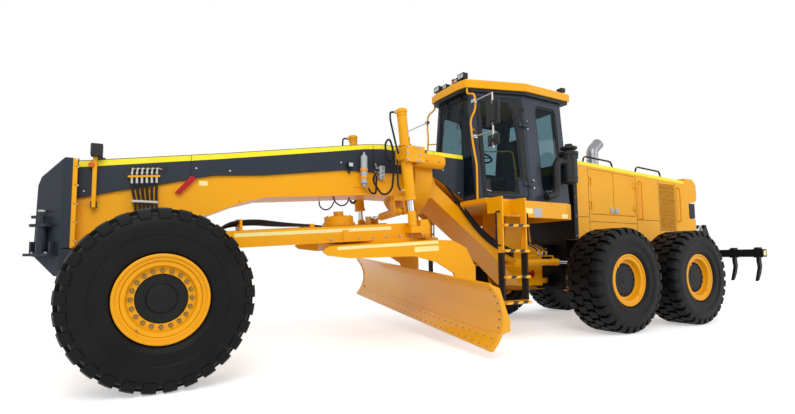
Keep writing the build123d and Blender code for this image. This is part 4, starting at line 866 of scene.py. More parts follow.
# %% Beam fittings
reflect, orange, pocket = bmesh.new(), bmesh.new(), bmesh.new()
slant = [(7.356, 1.956), (7.186, 2.161), (7.122, 2.137), (7.306, 1.929)]
for side in (1, -1):
    cut_plate(pocket, side_outline(slant, side * 0.298), (0, side * 0.046, 0))
    cut_plate(reflect, side_outline(slant, side * 0.344), (0, side * 0.006, 0))
    bar(orange, (8.192, side * 0.392, 2.195), (8.192, side * 0.404, 2.195), 0.030, 24, 0.026)
    slab(pocket, (8.17, 8.21), (side * 0.380, side * 0.392), (2.175, 2.215))
    slab(pocket, (7.900, 7.985), (side * 0.298, side * 0.306), (1.905, 1.930))
done("side_reflector_pockets", pocket, "front_frame", yellow_enamel, 0.003)
done("side_reflectors", reflect, "front_frame", red_lens, 0.002)
done("corner_reflectors", orange, "front_frame", orange_lens, 0.002)

plates = bmesh.new()
slab(plates, (6.994, 7.090), (0.2995, 0.3015), (2.060, 2.118))
slab(plates, (2.261, 2.491), (0.9495, 0.9520), (1.860, 1.945))
slab(plates, (1.475, 1.611), (0.9495, 0.9520), (1.812, 1.880))
done("blank_cream_plates", plates, "front_frame", cream_film)
steel_plates = bmesh.new()
slab(steel_plates, (2.070, 2.235), (0.9495, 0.9520), (1.812, 1.950))
done("blank_steel_plates", steel_plates, "front_frame", silver_film)

BOTTLE = (4.922, 0.385)
canister = bmesh.new()
bar(canister, (*BOTTLE, 2.23), (*BOTTLE, 2.615), 0.048, 32)
bar(canister, (*BOTTLE, 2.615), (*BOTTLE, 2.645), 0.040, 32, 0.018)
bar(canister, (*BOTTLE, 2.645), (*BOTTLE, 2.676), 0.014, 16)
bar(canister, (*BOTTLE, 2.19), (*BOTTLE, 2.23), 0.022, 16)
done("accumulator_bottle", canister, "front_frame", silver_film, 0.003)
clamps = bmesh.new()
for z in (2.31, 2.42):
    collar(clamps, 0.047, 0.055, -0.018, 0.018, (*BOTTLE, z), UP, 32)
    slab(clamps, (4.902, 4.942), (0.298, 0.34), (z - 0.03, z + 0.03))
slab(clamps, (4.80, 5.04), (0.298, 0.312), (2.18, 2.30))
done("accumulator_clamps", clamps, "front_frame", yellow_enamel, 0.002)
spot = bmesh.new()
slab(spot, (5.09, 5.17), (0.332, 0.40), (2.44, 2.51))
slab(spot, (5.115, 5.145), (0.325, 0.345), (2.36, 2.46))
done("blade_lamp", spot, "front_frame", housing_plastic, 0.008)
spot_lens = bmesh.new()
slab(spot_lens, (5.10, 5.16), (0.398, 0.404), (2.45, 2.50))
done("blade_lamp_lens", spot_lens, "front_frame", lamp_glass, 0.002)

# %% [markdown]
# ## Nose lamps
# Square work lamps stand on yellow posts beside the nose. The lens is prismatic glass in
# a black housing.

# %% Nose lamp lenses
nose_lamps = bmesh.new()
pair(nose_lamps, (8.199, 8.207), (0.342, 0.438), (2.302, 2.408))
done("nose_lamp_lenses", nose_lamps, "front_frame", lamp_glass, 0.003)
nose_posts = bmesh.new()
pair(nose_posts, (8.139, 8.181), (0.344, 0.386), (1.735, 2.289))
done("nose_lamp_posts", nose_posts, "front_frame", yellow_enamel, 0.004)
STRIP_BREAKS = (1.310, 1.369, 1.565, 1.760, 1.956, 2.152, 2.232)
strips, strip_screws, flange = bmesh.new(), bmesh.new(), bmesh.new()
for side in (1, -1):
    for low, high in zip(STRIP_BREAKS, STRIP_BREAKS[1:]):
        slab(strips, (8.309, 8.350), (side * 0.4480, side * 0.4530), (low + 0.003, high - 0.003))
        ball(strip_screws, (8.306, side * 0.432, high), 0.014)
    slab(flange, (8.352, 8.4205), (side * 0.4480, side * 0.4525), (1.2985, 2.2415))
    slab(flange, (8.352, 8.4205), (side * 0.3200, side * 0.4525), (2.2395, 2.2420))
    slab(flange, (8.352, 8.4205), (side * 0.2900, side * 0.4525), (1.2980, 1.3005))
done("nose_edge_strips", strips, "front_frame", yellow_enamel, 0.002)
done("nose_strip_screws", strip_screws, "front_frame", zinc_plate)
done("nose_flange_faces", flange, "front_frame", cover_enamel)
tow = bmesh.new()
for side in (1, -1):
    heading = Matrix.Translation((8.575, side * 0.312, 0)) @ Matrix.Rotation(side * math.radians(46), 4,
        "Z")
    for y in (-0.09, 0.09):
        hex_bolts(tow, [heading @ Vector((0.06, y, 1.243))], UP, 0.03, 0.016)
    bar(tow, heading @ Vector((0.045, 0, 1.67)), heading @ Vector((0.045, 0, 1.69)), 0.04, 20)
done("tow_pin_heads", tow, "front_frame", zinc_plate, 0.001)

# %% [markdown]
# ## Lift cylinders
# Two long cylinders carry the blade's drawbar. Each barrel has a screwed head, a welded
# clamp ring, two ports and a bolted trunnion block, and its rod ends in a forged eye. The
# rings are turned sections on the cylinder's own axis, worked out from its lean.

# %% Lift cylinder fittings
TRUNNION = Vector((4.480, 0.790, 2.590))
LIFT_LEAN = math.radians(6.0)
lift_dir = Vector((-math.sin(LIFT_LEAN), 0, -math.cos(LIFT_LEAN)))


def on_lift(along, side, out=0.0, forward=0.0):
    """A point beside a lift cylinder: along it from the trunnion, outwards and forwards."""
    base = Vector((TRUNNION.x, side * TRUNNION.y, TRUNNION.z))
    ahead = Vector((math.cos(LIFT_LEAN), 0, -math.sin(LIFT_LEAN)))
    return base + lift_dir * along + Vector((0, side * out, 0)) + ahead * forward


UPPER_BORE, LOWER_BORE = 0.0675, 0.0795
rings, eyes, plugs = bmesh.new(), bmesh.new(), bmesh.new()
for (hand, side), foot in zip(hands, (0.965, 0.868)):
    for along, inner, wide, tall in ((-0.640, UPPER_BORE, 0.079, 0.045),
            (-0.565, UPPER_BORE, 0.074, 0.010), (-0.150, UPPER_BORE, 0.092, 0.024),
            (0.585, LOWER_BORE, 0.089, 0.036), (0.545, LOWER_BORE, 0.085, 0.008)):
        collar(rings, inner, wide, 0, tall, on_lift(along, side), lift_dir, 40)
    turned_disc(rings, [(-0.012, 0), (-0.012, 0.056), (0.004, 0.066), (0.004, 0)],
        on_lift(-0.640, side), lift_dir, 40)
    for along, near, far in ((-0.600, 0.065, 0.100), (0.480, 0.078, 0.115)):
        bar(rings, on_lift(along, side, 0, near), on_lift(along, side, 0, far), 0.024, 20)
        hex_bolts(plugs, [on_lift(along, side, 0, far)], AHEAD, 0.03, 0.03)
    hex_bolts(plugs, [on_lift(a, side, 0, 0.084) for a in (-0.055, 0.055)], AHEAD, 0.024, 0.014)
    turned_ring(eyes, [(0, 0.0425), (0, 0.052), (0.03, 0.058), (foot - 0.80, 0.060),
        (foot - 0.79, 0.0425)], on_lift(0.770, side), lift_dir, 36)
    ball(eyes, on_lift(foot, side), 0.066)
done("lift_barrel_rings", rings, "lift_barrels", yellow_enamel, 0.002)
done("lift_rod_eyes", eyes, "lift_rods", yellow_enamel, 0.002)
done("lift_port_fittings", plugs, "lift_barrels", zinc_plate, 0.001)
for hand, side in hands:
    bent_pipe(f"lift_feed_hose_{hand}", [on_lift(-0.600, side, 0.00, 0.125),
        on_lift(-0.600, side, 0.0, 0.180), on_lift(-0.500, side, 0.01, 0.200),
        on_lift(-0.12, side, 0.02, 0.150), on_lift(-0.02, side, 0.03, 0.135)], 0.014, "lift_barrels",
        hose_rubber, 0.05)
    bent_pipe(f"lift_foot_hose_{hand}", [on_lift(0.480, side, 0.0, 0.140),
        on_lift(0.420, side, 0.005, 0.175), on_lift(0.24, side, -0.01, 0.155),
        on_lift(0.05, side, -0.02, 0.135)], 0.013, "lift_barrels", hose_rubber, 0.06)

# %% [markdown]
# ## Saddle
# The saddle is the cast and welded hoop that lets the lift cylinders swing. Bolts hold
# the cylinder trunnions in it, each horizontal tube has a grease nipple and red plugs,
# and a lock valve beside the hoop feeds the cylinders through looped hoses. Both ends of
# each loop are screwed in, so the loops are drawn as fitted pipework.

# %% Saddle fittings
bolts, plugs, marks = bmesh.new(), bmesh.new(), bmesh.new()
for hand, side in hands:
    for x in (4.345, 4.535):
        for z in (2.505, 2.590, 2.675):
            hex_bolts(bolts, [(x, side * 0.938, z)], (0, side, 0), 0.024, 0.014)
    for z in (2.505, 2.675):
        hex_bolts(bolts, [(4.40, side * 0.938, z)], (0, side, 0), 0.02, 0.012)
    for x in (4.075, 3.86):
        bar(marks, (x, side * 0.704, 2.575), (x, side * 0.7125, 2.575), 0.010, 16)
    bar(plugs, (3.750, side * 0.61, 2.59), (3.728, side * 0.61, 2.59), 0.012, 12, 0.006)
    collar(bolts, 0.0985, 0.106, 0, 0.012, (4.205, side * 0.61, 2.59), AHEAD, 40)
done("saddle_bolts", bolts, "front_frame", zinc_plate, 0.001)
done("saddle_red_plugs", marks, "front_frame", pipe_red)
done("saddle_grease_nipples", plugs, "front_frame", zinc_plate)

block, fittings = bmesh.new(), bmesh.new()
for side in (1, -1):
    slab(block, (4.575, 4.655), (side * 0.302, side * 0.365), (2.315, 2.510))
    for z in (2.345, 2.41, 2.475):
        bar(fittings, (4.615, side * 0.365, z), (4.615, side * 0.398, z), 0.014, 6)
        bar(fittings, (4.655, side * 0.335, z), (4.690, side * 0.335, z), 0.013, 6)
    for x, z in ((4.70, 2.37), (4.70, 2.475)):
        ball(fittings, (x, side * 0.335, z), 0.017)
        bar(fittings, (x, side * 0.335, z), (x + 0.035, side * 0.37, z + 0.05), 0.015, 12)
    bar(fittings, (4.922, side * 0.385, 2.190), (4.86, side * 0.385, 2.170), 0.013, 12)
    ball(fittings, (4.922, side * 0.385, 2.185), 0.018)
done("lock_valve_blocks", block, "front_frame", silver_film, 0.004)
done("lock_valve_fittings", fittings, "front_frame", zinc_plate, 0.001)
for hand, side in hands:
    bent_pipe(f"lift_loop_hose_{hand}", [(4.72, side * 0.37, 2.40), (4.82, side * 0.43, 2.28),
        (4.70, side * 0.52, 2.045), (4.58, side * 0.57, 2.12), (4.560, side * 0.60, 2.42),
        (4.585, side * 0.61, 2.74), (4.640, side * 0.61, 2.86), (4.70, side * 0.60, 2.78),
        (4.675, side * 0.59, 2.56), (4.60, side * 0.58, 2.53)], 0.015, "front_frame", hose_rubber,
        0.09)
    bent_pipe(f"accumulator_hose_{hand}", [(4.86, side * 0.385, 2.168), (4.80, side * 0.385, 2.09),
        (4.73, side * 0.375, 2.10), (4.70, side * 0.345, 2.36)], 0.013, "front_frame", hose_rubber,
        0.06)
    bent_pipe(f"shift_loop_hose_{hand}", [(5.10, side * 0.28, 2.035), (5.14, side * 0.29, 1.94),
        (5.24, side * 0.30, 1.895), (5.33, side * 0.29, 1.96), (5.34, side * 0.27, 2.03)], 0.010,
        "front_frame", hose_rubber, 0.06)
    for n, drop in enumerate((0.0, 0.035, 0.07, 0.105)):
        bent_pipe(f"frame_hose_{hand}_{n + 1}", [(3.46 - drop, side * 0.312, 2.315 - drop),
            (3.12, side * (0.318 + drop / 9), 1.985 - drop), (2.74, side * 0.318, 1.615 - drop),
            (2.40, side * 0.318, 1.42 - drop), (2.08, side * 0.315, 1.30 - drop)], 0.014, "front_frame",
            hose_rubber, 0.2)

# %% [markdown]
# ## Drawbar
# The drawbar is an A-shaped weldment seen from the side, so its own slope and roll place
# the fittings: a reflective strip, a row of clamp bolts, the circle drive gearbox with
# its flange, and a bundle of hoses that enters at the ball end.

# %% Drawbar frame and fittings
drawbar_place = (Matrix.Translation((7.0, 0, 1.42)) @ Matrix.Rotation(math.radians(4.2), 4,
    "Y") @ Matrix.Rotation(math.radians(-3.5), 4, "X"))
circle_place = drawbar_place @ Matrix.Translation((-2.5, 0, 0)) @ Matrix.Rotation(math.radians(-7.7), 4,
    "Z")


def moved(gathered, place):
    bmesh.ops.transform(gathered, matrix=place, verts=gathered.verts)
    return gathered


def flank(x):
    """Half width of the drawbar's outer face at a station along it."""
    return 0.150 + (-0.250 - x) * 0.540 / 2.250


strip, flange, studs = bmesh.new(), bmesh.new(), bmesh.new()
for side in (1, -1):
    outline = [(x, side * (flank(x) + 0.0005), z) for x, z in ((-0.36, 0.015), (-2.36, 0.015),
        (-2.36, 0.062), (-0.36, 0.062))]
    cut_plate(strip, outline, (0, side * 0.002, 0))
    lip = [(-0.45, side * flank(-0.45), -0.119), (-2.49, side * flank(-2.49), -0.119),
        (-2.96, side * 0.69, -0.119), (-2.96, side * 0.715, -0.119), (-2.49, side * 0.715, -0.119),
        (-0.45, side * (flank(-0.45) + 0.022), -0.119)]
    cut_plate(flange, lip, (0, 0, 0.020))
    for i in range(8):
        x = -1.55 - 0.185 * i
        foot = side * (min(flank(x), 0.69) + 0.001)
        hex_bolts(studs, [(x, foot, -0.080)], (0, side, 0), 0.022, 0.014)
done("drawbar_reflective_strip", moved(strip, drawbar_place), "drawbar", cream_film)
done("drawbar_lower_flange", moved(flange, drawbar_place), "drawbar", yellow_enamel, 0.003)
done("drawbar_clamp_bolts", moved(studs, drawbar_place), "drawbar", zinc_plate, 0.001)

DRIVE_X = -1.87
drive = bmesh.new()
collar(drive, 0.208, 0.236, 0.10, 0.128, (DRIVE_X, 0, 0), UP, 56)
turned_ring(drive, [(0.226, 0.074), (0.226, 0.120), (0.240, 0.112), (0.240, 0.074)], (DRIVE_X, 0, 0),
    UP, 40)
for i in range(16):
    angle = math.pi * i / 8
    x, y = DRIVE_X + 0.222 * math.cos(angle), 0.222 * math.sin(angle)
    hex_bolts(drive, [(x, y, 0.127)], UP, 0.022, 0.014)
for i in range(10):
    angle = math.pi * i / 5
    hex_bolts(drive, [(DRIVE_X + 0.17 * math.cos(angle), 0.17 * math.sin(angle), 0.227)], UP, 0.024,
        0.014)
done("circle_drive_flange", moved(drive, drawbar_place), "drawbar", yellow_enamel, 0.001)

for n in range(5):
    y = -0.055 + 0.032 * n
    route = [(-0.16, y, 0.085), (-0.30, y * 1.1, 0.150 + 0.012 * n), (-0.62, y * 1.6,
        0.175 + 0.014 * n), (-0.95, y * 2.2 + 0.02 * n, 0.135 + 0.008 * n), (-1.38, y * 3.0, 0.118),
        (-1.52, y * 3.0, 0.100)]
    bent_pipe(f"drawbar_hose_{n + 1}", [drawbar_place @ Vector(p) for p in route], 0.015, "drawbar",
        hose_rubber, 0.16)
clip = bmesh.new()
slab(clip, (-1.40, -1.34), (-0.20, 0.26), (0.094, 0.142))
slab(clip, (-0.47, -0.44), (-0.14, 0.16), (0.094, 0.24))
done("drawbar_hose_clips", moved(clip, drawbar_place), "drawbar", yellow_enamel, 0.003)

# %% [markdown]
# ## Circle
# The circle's side arms carry the blade. Each arm has a pale warning strip and one blank
# plate, and bolts clamp the wear shoes above the ring.

# %% Circle fittings
strip, plate, shoes = bmesh.new(), bmesh.new(), bmesh.new()
for side in (1, -1):
    slab(strip, (-0.52, 0.90), (side * 0.9452, side * 0.9472), (-0.198, -0.158))
    slab(plate, (-0.52, -0.16), (side * 0.9452, side * 0.9470), (-0.295, -0.225))
    hex_bolts(shoes, [(-1.0 + 0.03 * i, side * 0.945, -0.86 - 0.07 * i) for i in range(3)],
        (0, side, 0), 0.026, 0.014)
done("circle_arm_strips", moved(strip, circle_place), "circle", cream_film)
done("circle_arm_plates", moved(plate, circle_place), "circle", cream_film)
done("circle_arm_bolts", moved(shoes, circle_place), "circle", zinc_plate, 0.001)

# %% [markdown]
# ## Blade
# The moldboard is a rolled plate. Hardened cutting edges are bolted along its bottom in
# sections and end bits guard its corners. Each section follows the plate's own arc, and
# the plough bolts sit flush with small raised rims.

# %% Cutting edges, end bits and bolts
BLADE_MIDDLE = -1.007          # height of the arc's middle, in the circle's frame
BLADE_ARC = 0.5017
BLADE_ARC_X = -0.1953
EDGE_THICK = 0.019
BLADE_LOW_Y, BLADE_HIGH_Y = -0.352 - 2.46, -0.352 + 2.46


def on_blade(turn, depth, y):
    """A point on the blade's hollow face: turn up the arc, depth off the plate."""
    radius = BLADE_ARC - depth
    return Vector((BLADE_ARC_X - radius * math.cos(turn), y, BLADE_MIDDLE + radius * math.sin(turn)))


def rolled_plate(gathered, low_turn, high_turn, low_y, high_y, thick, steps=6):
    """A plate that follows the blade's arc."""
    rows = []
    for i in range(steps + 1):
        turn = low_turn + (high_turn - low_turn) * i / steps
        rows.append([gathered.verts.new(on_blade(turn, d, y)) for d, y in ((0.0, low_y), (thick, low_y),
            (thick, high_y), (0.0, high_y))])
    for one, two in zip(rows, rows[1:]):
        for i in range(4):
            j = (i + 1) % 4
            gathered.faces.new((one[i], one[j], two[j], two[i]))
    gathered.faces.new(rows[0])
    gathered.faces.new(list(reversed(rows[-1])))


LOW_TURN = -math.asin(0.385 / BLADE_ARC) + 0.004
edges, bits, bolts, hole_shades = bmesh.new(), bmesh.new(), bmesh.new(), bmesh.new()
span = (BLADE_HIGH_Y - BLADE_LOW_Y - 0.36) / 4
for i in range(4):
    low_y = BLADE_LOW_Y + 0.18 + span * i
    rolled_plate(edges, LOW_TURN, -0.46, low_y + 0.002, low_y + span - 0.002, EDGE_THICK)
for low_y in (BLADE_LOW_Y + 0.003, BLADE_HIGH_Y - 0.178):
    rolled_plate(bits, LOW_TURN, -0.40, low_y, low_y + 0.175, 0.022)
for low_y in (BLADE_LOW_Y + 0.003, BLADE_HIGH_Y - 0.023):
    rolled_plate(bits, -0.40, 0.74, low_y, low_y + 0.02, 0.010, 12)
done("cutting_edges", moved(edges, circle_place), "blade", blade_enamel, 0.002)
done("blade_end_bits", moved(bits, circle_place), "blade", blade_enamel, 0.002)
for i in range(31):
    y = BLADE_LOW_Y + 0.10 + 0.157 * i
    for turn in (-0.575, -0.80):
        bar(bolts, on_blade(turn, EDGE_THICK - 0.002, y), on_blade(turn, EDGE_THICK + 0.004, y), 0.015,
            12, 0.011)
# Black discs stand for the open bolt holes near the plate's ends: painted shade inside the holes.
for y in (BLADE_LOW_Y + 0.07, BLADE_HIGH_Y - 0.07):
    for i in range(6):
        turn = -0.28 + 0.19 * i
        bar(hole_shades, on_blade(turn, -0.002, y), on_blade(turn, 0.003, y), 0.011, 12)
done("edge_bolts", moved(bolts, circle_place), "blade", worn_steel)
done("end_bolt_hole_painted_shade", moved(hole_shades, circle_place), "blade", black_enamel)

# %% [markdown]
# ## Cab roof, lamps and beacon
# Under the yellow roof runs a black skirt. Six square work lamps and an amber beacon
# stand on it. The lamps have bright ribbed lenses in black shells.

# %% Roof skirt, lamps and beacon
ROOF_TOP = 4.040
BEACON = (3.040, 0.040, ROOF_TOP)
skirt = bmesh.new()
loop_out = [(3.160, 0.0), (3.160, 0.285), (3.125, 0.445), (2.130, 0.748), (1.105, 0.720), (1.105, 0.0)]
loop_in = [(3.034, 0.0), (3.034, 0.20), (3.034, 0.434), (2.127, 0.699), (1.246, 0.674), (1.246, 0.0)]
for side in (1, -1):
    for (a, b), (c, d) in zip(zip(loop_out, loop_out[1:]), zip(loop_in, loop_in[1:])):
        points = [(x, side * y, 3.845) for x, y in (a, b, d, c)]
        cut_plate(skirt, points, (0, 0, 0.055))
done("roof_skirt", skirt, "front_frame", housing_plastic)

lamp_rows = [(3.090, 0.330, 0.150, 0.130, 1), (3.060, 0.160, 0.090, 0.110, 1),
    (3.060, -0.150, 0.110, 0.110, 1), (3.090, -0.340, 0.150, 0.130, 1),
    (1.160, 0.640, 0.110, 0.110, -1), (1.160, -0.640, 0.110, 0.110, -1)]
shells, lenses = bmesh.new(), bmesh.new()
for x, y, wide, tall, face in lamp_rows:
    front = x + face * 0.045
    rim, foot, head = (front - face * 0.004, front + face * 0.006), ROOF_TOP + 0.040, ROOF_TOP + tall
    for edge in (y - wide / 2 - 0.002, y + wide / 2 - 0.010):
        slab(shells, rim, (edge, edge + 0.012), (foot, head + 0.001))
    for z in (foot, head - 0.009):
        slab(shells, rim, (y - wide / 2, y + wide / 2), (z, z + 0.010))
    for low, high in ((-0.44, -0.03), (0.03, 0.44)):
        slab(lenses, (front, front + face * 0.003), (y + wide * low, y + wide * high),
            (foot + 0.012, head - 0.011))
done("roof_lamp_bezels", shells, "front_frame", housing_plastic, 0.001)
done("roof_lamp_lenses", lenses, "front_frame", lamp_glass, 0.001)
beacon = bmesh.new()
turned_disc(beacon, [(0.034, 0), (0.034, 0.050), (0.060, 0.053), (0.110, 0.050), (0.132, 0.036),
    (0.1415, 0)], BEACON, UP, 40)
done("beacon_dome", beacon, "front_frame", amber_lens, 0.002)
base = bmesh.new()
turned_disc(base, [(0.0, 0), (0.0, 0.062), (0.020, 0.062), (0.034, 0.052), (0.034, 0)], BEACON, UP, 40)
done("beacon_base", base, "front_frame", silver_film, 0.002)

# %% [markdown]
# ## Window bands, doors and wipers
# Each pane is bonded into its opening and has a black ceramic band round its rim. The
# band follows the cab's sloping wall, so a helper gives the wall's place at any height.


# %% Cab wall helper and bands
def cab_wall(x, z):
    """The outer face of the cab's side wall, half width at a place of its elevation."""
    rise = (z - 2.060) / 1.840
    foot = [(3.070, 0.620), (2.180, 0.880), (1.300, 0.855)]
    head = [(3.030, 0.430), (2.127, 0.694), (1.250, 0.669)]
    line = [(a + (c - a) * rise, b + (d - b) * rise) for (a, b), (c, d) in zip(foot, head)]
    (x1, y1), (x2, y2) = line[:2] if x > line[1][0] else line[1:]
    return y1 + (x - x1) * (y2 - y1) / (x2 - x1)


def between(outer, inner):
    """The quads that join two outlines of the same count."""
    for i in range(len(outer)):
        j = (i + 1) % len(outer)
        yield outer[i], outer[j], inner[j], inner[i]


def wall_band(gathered, outline, side, wide, stand=-0.018):
    """A flat band inside an outline of (x, z), lying in the sloping wall."""
    inner = []
    count = len(outline)
    area = sum(outline[i][0] * outline[(i + 1) % count][1] - outline[(i + 1) % count][0] * outline[i][1]
        for i in range(count))
    turn = 1 if area > 0 else -1
    for i in range(count):
        before, here, after = (Vector(outline[j % count]) for j in (i - 1, i, i + 1))
        d1, d2 = (here - before).normalized(), (after - here).normalized()
        n1, n2 = Vector((-d1.y, d1.x)) * turn, Vector((-d2.y, d2.x)) * turn
        inner.append(here + (n1 + n2) * (wide / max(0.4, 1 + n1.dot(n2))))
    for ring in between(outline, inner):
        points = [(x, side * (cab_wall(x, z) + stand), z) for x, z in ring]
        cut_plate(gathered, points, (0, side * 0.004, 0))


door_window = [(2.400, 2.190), (2.860, 2.190), (2.865, 2.400), (2.925, 2.420), (2.905, 3.700),
    (2.440, 3.700), (2.340, 3.560), (2.300, 3.200), (2.300, 2.440), (2.400, 2.420)]
door_mask = [(2.385, 2.170), (2.875, 2.170), (2.885, 2.385), (2.968, 2.400), (2.948, 3.775),
    (2.440, 3.775), (2.195, 3.775), (2.200, 3.200), (2.228, 2.400), (2.385, 2.400)]
quarter_window = [(1.930, 2.290), (1.860, 2.200), (1.620, 2.200), (1.420, 2.430), (1.395, 3.640),
    (1.440, 3.720), (1.840, 3.720), (1.905, 3.640)]
door_leaf = [(2.236, 2.133), (2.977, 2.133), (2.947, 3.782), (2.188, 3.782)]
band = bmesh.new()
for side in (1, -1):
    wall_band(band, quarter_window, side, 0.035)
done("quarter_window_bands", band, "front_frame", housing_plastic)
for hand, side in hands:
    band = bmesh.new()
    wall_band(band, door_window, side, 0.030)
    for ring in between(door_mask, door_window):
        cut_plate(band, [(x, side * (cab_wall(x, z) + 0.0005), z) for x, z in ring],
            (0, side * 0.003, 0))
    done(f"door_window_band_{hand}", band, f"cab_door_{hand}", housing_plastic)
    seal = bmesh.new()
    wall_band(seal, door_leaf, side, 0.012, -0.002)
    done(f"door_seal_{hand}", seal, f"cab_door_{hand}", housing_plastic)
    grip = bmesh.new()
    outline = [(x, side * (cab_wall(x, z) - 0.001), z) for x, z in ((2.905, 2.150), (2.960, 2.150),
        (2.955, 2.385), (2.905, 2.385))]
    cut_plate(grip, outline, (0, side * 0.006, 0))
    done(f"door_handle_plate_{hand}", grip, f"cab_door_{hand}", housing_plastic, 0.002)
    lever = bmesh.new()
    y = side * (cab_wall(2.93, 2.23) + 0.022)
    bar(lever, (2.945, y, 2.235), (2.84, y, 2.215), 0.009, 12)
    bar(lever, (2.935, y - side * 0.024, 2.235), (2.935, y, 2.235), 0.010, 12)
    done(f"door_lever_{hand}", lever, f"cab_door_{hand}", zinc_plate, 0.001)
    bent_pipe(f"door_grab_bar_{hand}", [(2.86, side * (cab_wall(2.86, 2.87) - 0.080), 2.87),
        (2.36, side * (cab_wall(2.36, 2.90) - 0.085), 2.90), (2.345, side * (cab_wall(2.345,
        2.55) - 0.085), 2.55), (2.40, side * (cab_wall(2.40, 2.20) - 0.060), 2.225)], 0.010,
        f"cab_door_{hand}", yellow_enamel, 0.05)
    wiper = bmesh.new()
    foot = Vector((2.168, side * (cab_wall(2.168, 3.61) + 0.014), 3.61))
    tip = Vector((2.400, side * (cab_wall(2.400, 3.31) + 0.016), 3.31))
    bar(wiper, foot, tip, 0.008, 8)
    bar(wiper, foot + Vector((0, -side * 0.014, 0)), foot + Vector((0, side * 0.012, 0)), 0.018, 12)
    done(f"side_wiper_{hand}", wiper, "front_frame", housing_plastic, 0.001)
    bolts = bmesh.new()
    for z in (2.29, 2.41, 3.28, 3.40):
        hex_bolts(bolts, [(2.115, side * (cab_wall(2.115, z) + 0.0005), z)], (0, side, 0.05), 0.02,
            0.010)
    done(f"hinge_bolts_{hand}", bolts, "front_frame", zinc_plate, 0.001)

front = bmesh.new()
for y in (0.22, -0.16):
    foot = Vector((3.052, y, 3.800))
    tip = Vector((3.062, y - 0.08, 3.520))
    bar(front, foot, tip, 0.009, 10, 0.006)
    bar(front, foot + Vector((-0.01, 0, 0.03)), foot + Vector((0.012, 0, 0.0)), 0.022, 16)
    slab(front, (3.058, 3.066), (y - 0.098, y - 0.084), (3.30, 3.74))
done("front_wipers", front, "front_frame", housing_plastic, 0.001)


def on_screen(y, z):
    """A point on the windscreen's outer face, which leans back."""
    return (3.0505 - 0.0217 * (z - 2.060), y, z)


outer = [(0.540, 2.160), (0.372, 3.790), (-0.372, 3.790), (-0.540, 2.160)]
inner = [(0.505, 2.200), (0.342, 3.750), (-0.342, 3.750), (-0.505, 2.200)]
screen_band = bmesh.new()
for ring in between(outer, inner):
    cut_plate(screen_band, [on_screen(*p) for p in ring], (0.004, 0, 0))
done("windscreen_band", screen_band, "front_frame", housing_plastic)

# %% [markdown]
# ## Rails and mirrors
# The grab rails are bent tube: yellow in front of the cab, black beside the ladders. The
# mirrors hang on dark brackets from the front rails. Each has a moulded shell with its
# glass on the rear side. These pieces stand for the plain CAD rails.

# %% Rails, mirror brackets and shells
SEAT_GAP = 0.0003
LADDER_Y = 1.200
MIRRORS = ((3.070, 3.440, 0.130), (2.780, 2.940, 0.110))  # low, high, half width
rail_route = [(3.105, 0.445, 3.900), (3.105, 0.445, 3.800), (3.120, 0.650, 3.740),
    (3.120, 0.665, 3.480), (3.160, 0.580, 3.340), (3.160, 0.620, 3.000), (3.145, 0.690, 2.600),
    (3.145, 0.690, 2.0605)]
for hand, side in hands:
    rail = bent_pipe(f"cab_rail_{hand}", [(x, side * y, z) for x, y, z in rail_route], 0.016,
        "front_frame", yellow_enamel, 0.075, 10)
    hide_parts("grab_rails")
    bent_pipe(f"cab_rail_stay_{hand}", [(3.150, side * 0.60, 3.20), (3.030, side * 0.510, 3.20)], 0.012,
        "front_frame", yellow_enamel)
    bracket = bmesh.new()
    x, y = 3.260, side * 1.200
    bar(bracket, (x, y, 2.740), (x, y, 3.545), 0.013, 16)
    ball(bracket, (x, y, 3.550), 0.0145)
    for z in (3.550, 2.990):
        bar(bracket, (x, y, z), (3.140, side * 0.630, z + 0.060), 0.0105, 14)
        slab(bracket, (3.105, 3.170), (side * 0.615, side * 0.675), (z + 0.035, z + 0.085))
    piece = done(f"mirror_bracket_{hand}", bracket, "front_frame", zinc_plate, 0.002)
    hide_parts("grab_rails")
    shell = bmesh.new()
    for low, high, wide in MIRRORS:
        slab(shell, (x - 0.022, x + 0.012), (y - wide, y + wide), (low, high))
        slab(shell, (x + 0.004, x + 0.026), (y - wide * 0.55, y + wide * 0.55),
            (low + 0.05, high - 0.05))
    piece = done(f"mirror_shells_{hand}", shell, "front_frame", housing_plastic, 0.010)
    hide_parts("grab_rails")
    glass = bmesh.new()
    for low, high, wide in MIRRORS:
        slab(glass, (x - 0.0245, x - 0.021), (y - wide + 0.014, y + wide - 0.014),
            (low + 0.014, high - 0.014))
    done(f"mirror_glasses_{hand}", glass, "front_frame", mirror_glass, 0.001)
    for place, foot, out in (("rear", 2.710, -1), ("front", 3.180, 1)):
        start = foot + out * SEAT_GAP
        piece = bent_pipe(f"ladder_rail_{place}_{hand}", [(start, side * LADDER_Y, 1.350),
            (foot + out * 0.070, side * LADDER_Y, 1.350), (foot + out * 0.070, side * LADDER_Y, 1.830),
            (start, side * LADDER_Y, 1.830)], 0.012, "front_frame", black_enamel, 0.04, 8)
        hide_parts("grab_rails")

# %% [markdown]
# ## Ladders and platform
# Ladder steps are edged with hazard tape, the upper uprights are painted steel and the
# lower ones are rubber-faced straps that give when they hit the ground. Screws run along
# the platform's edge.

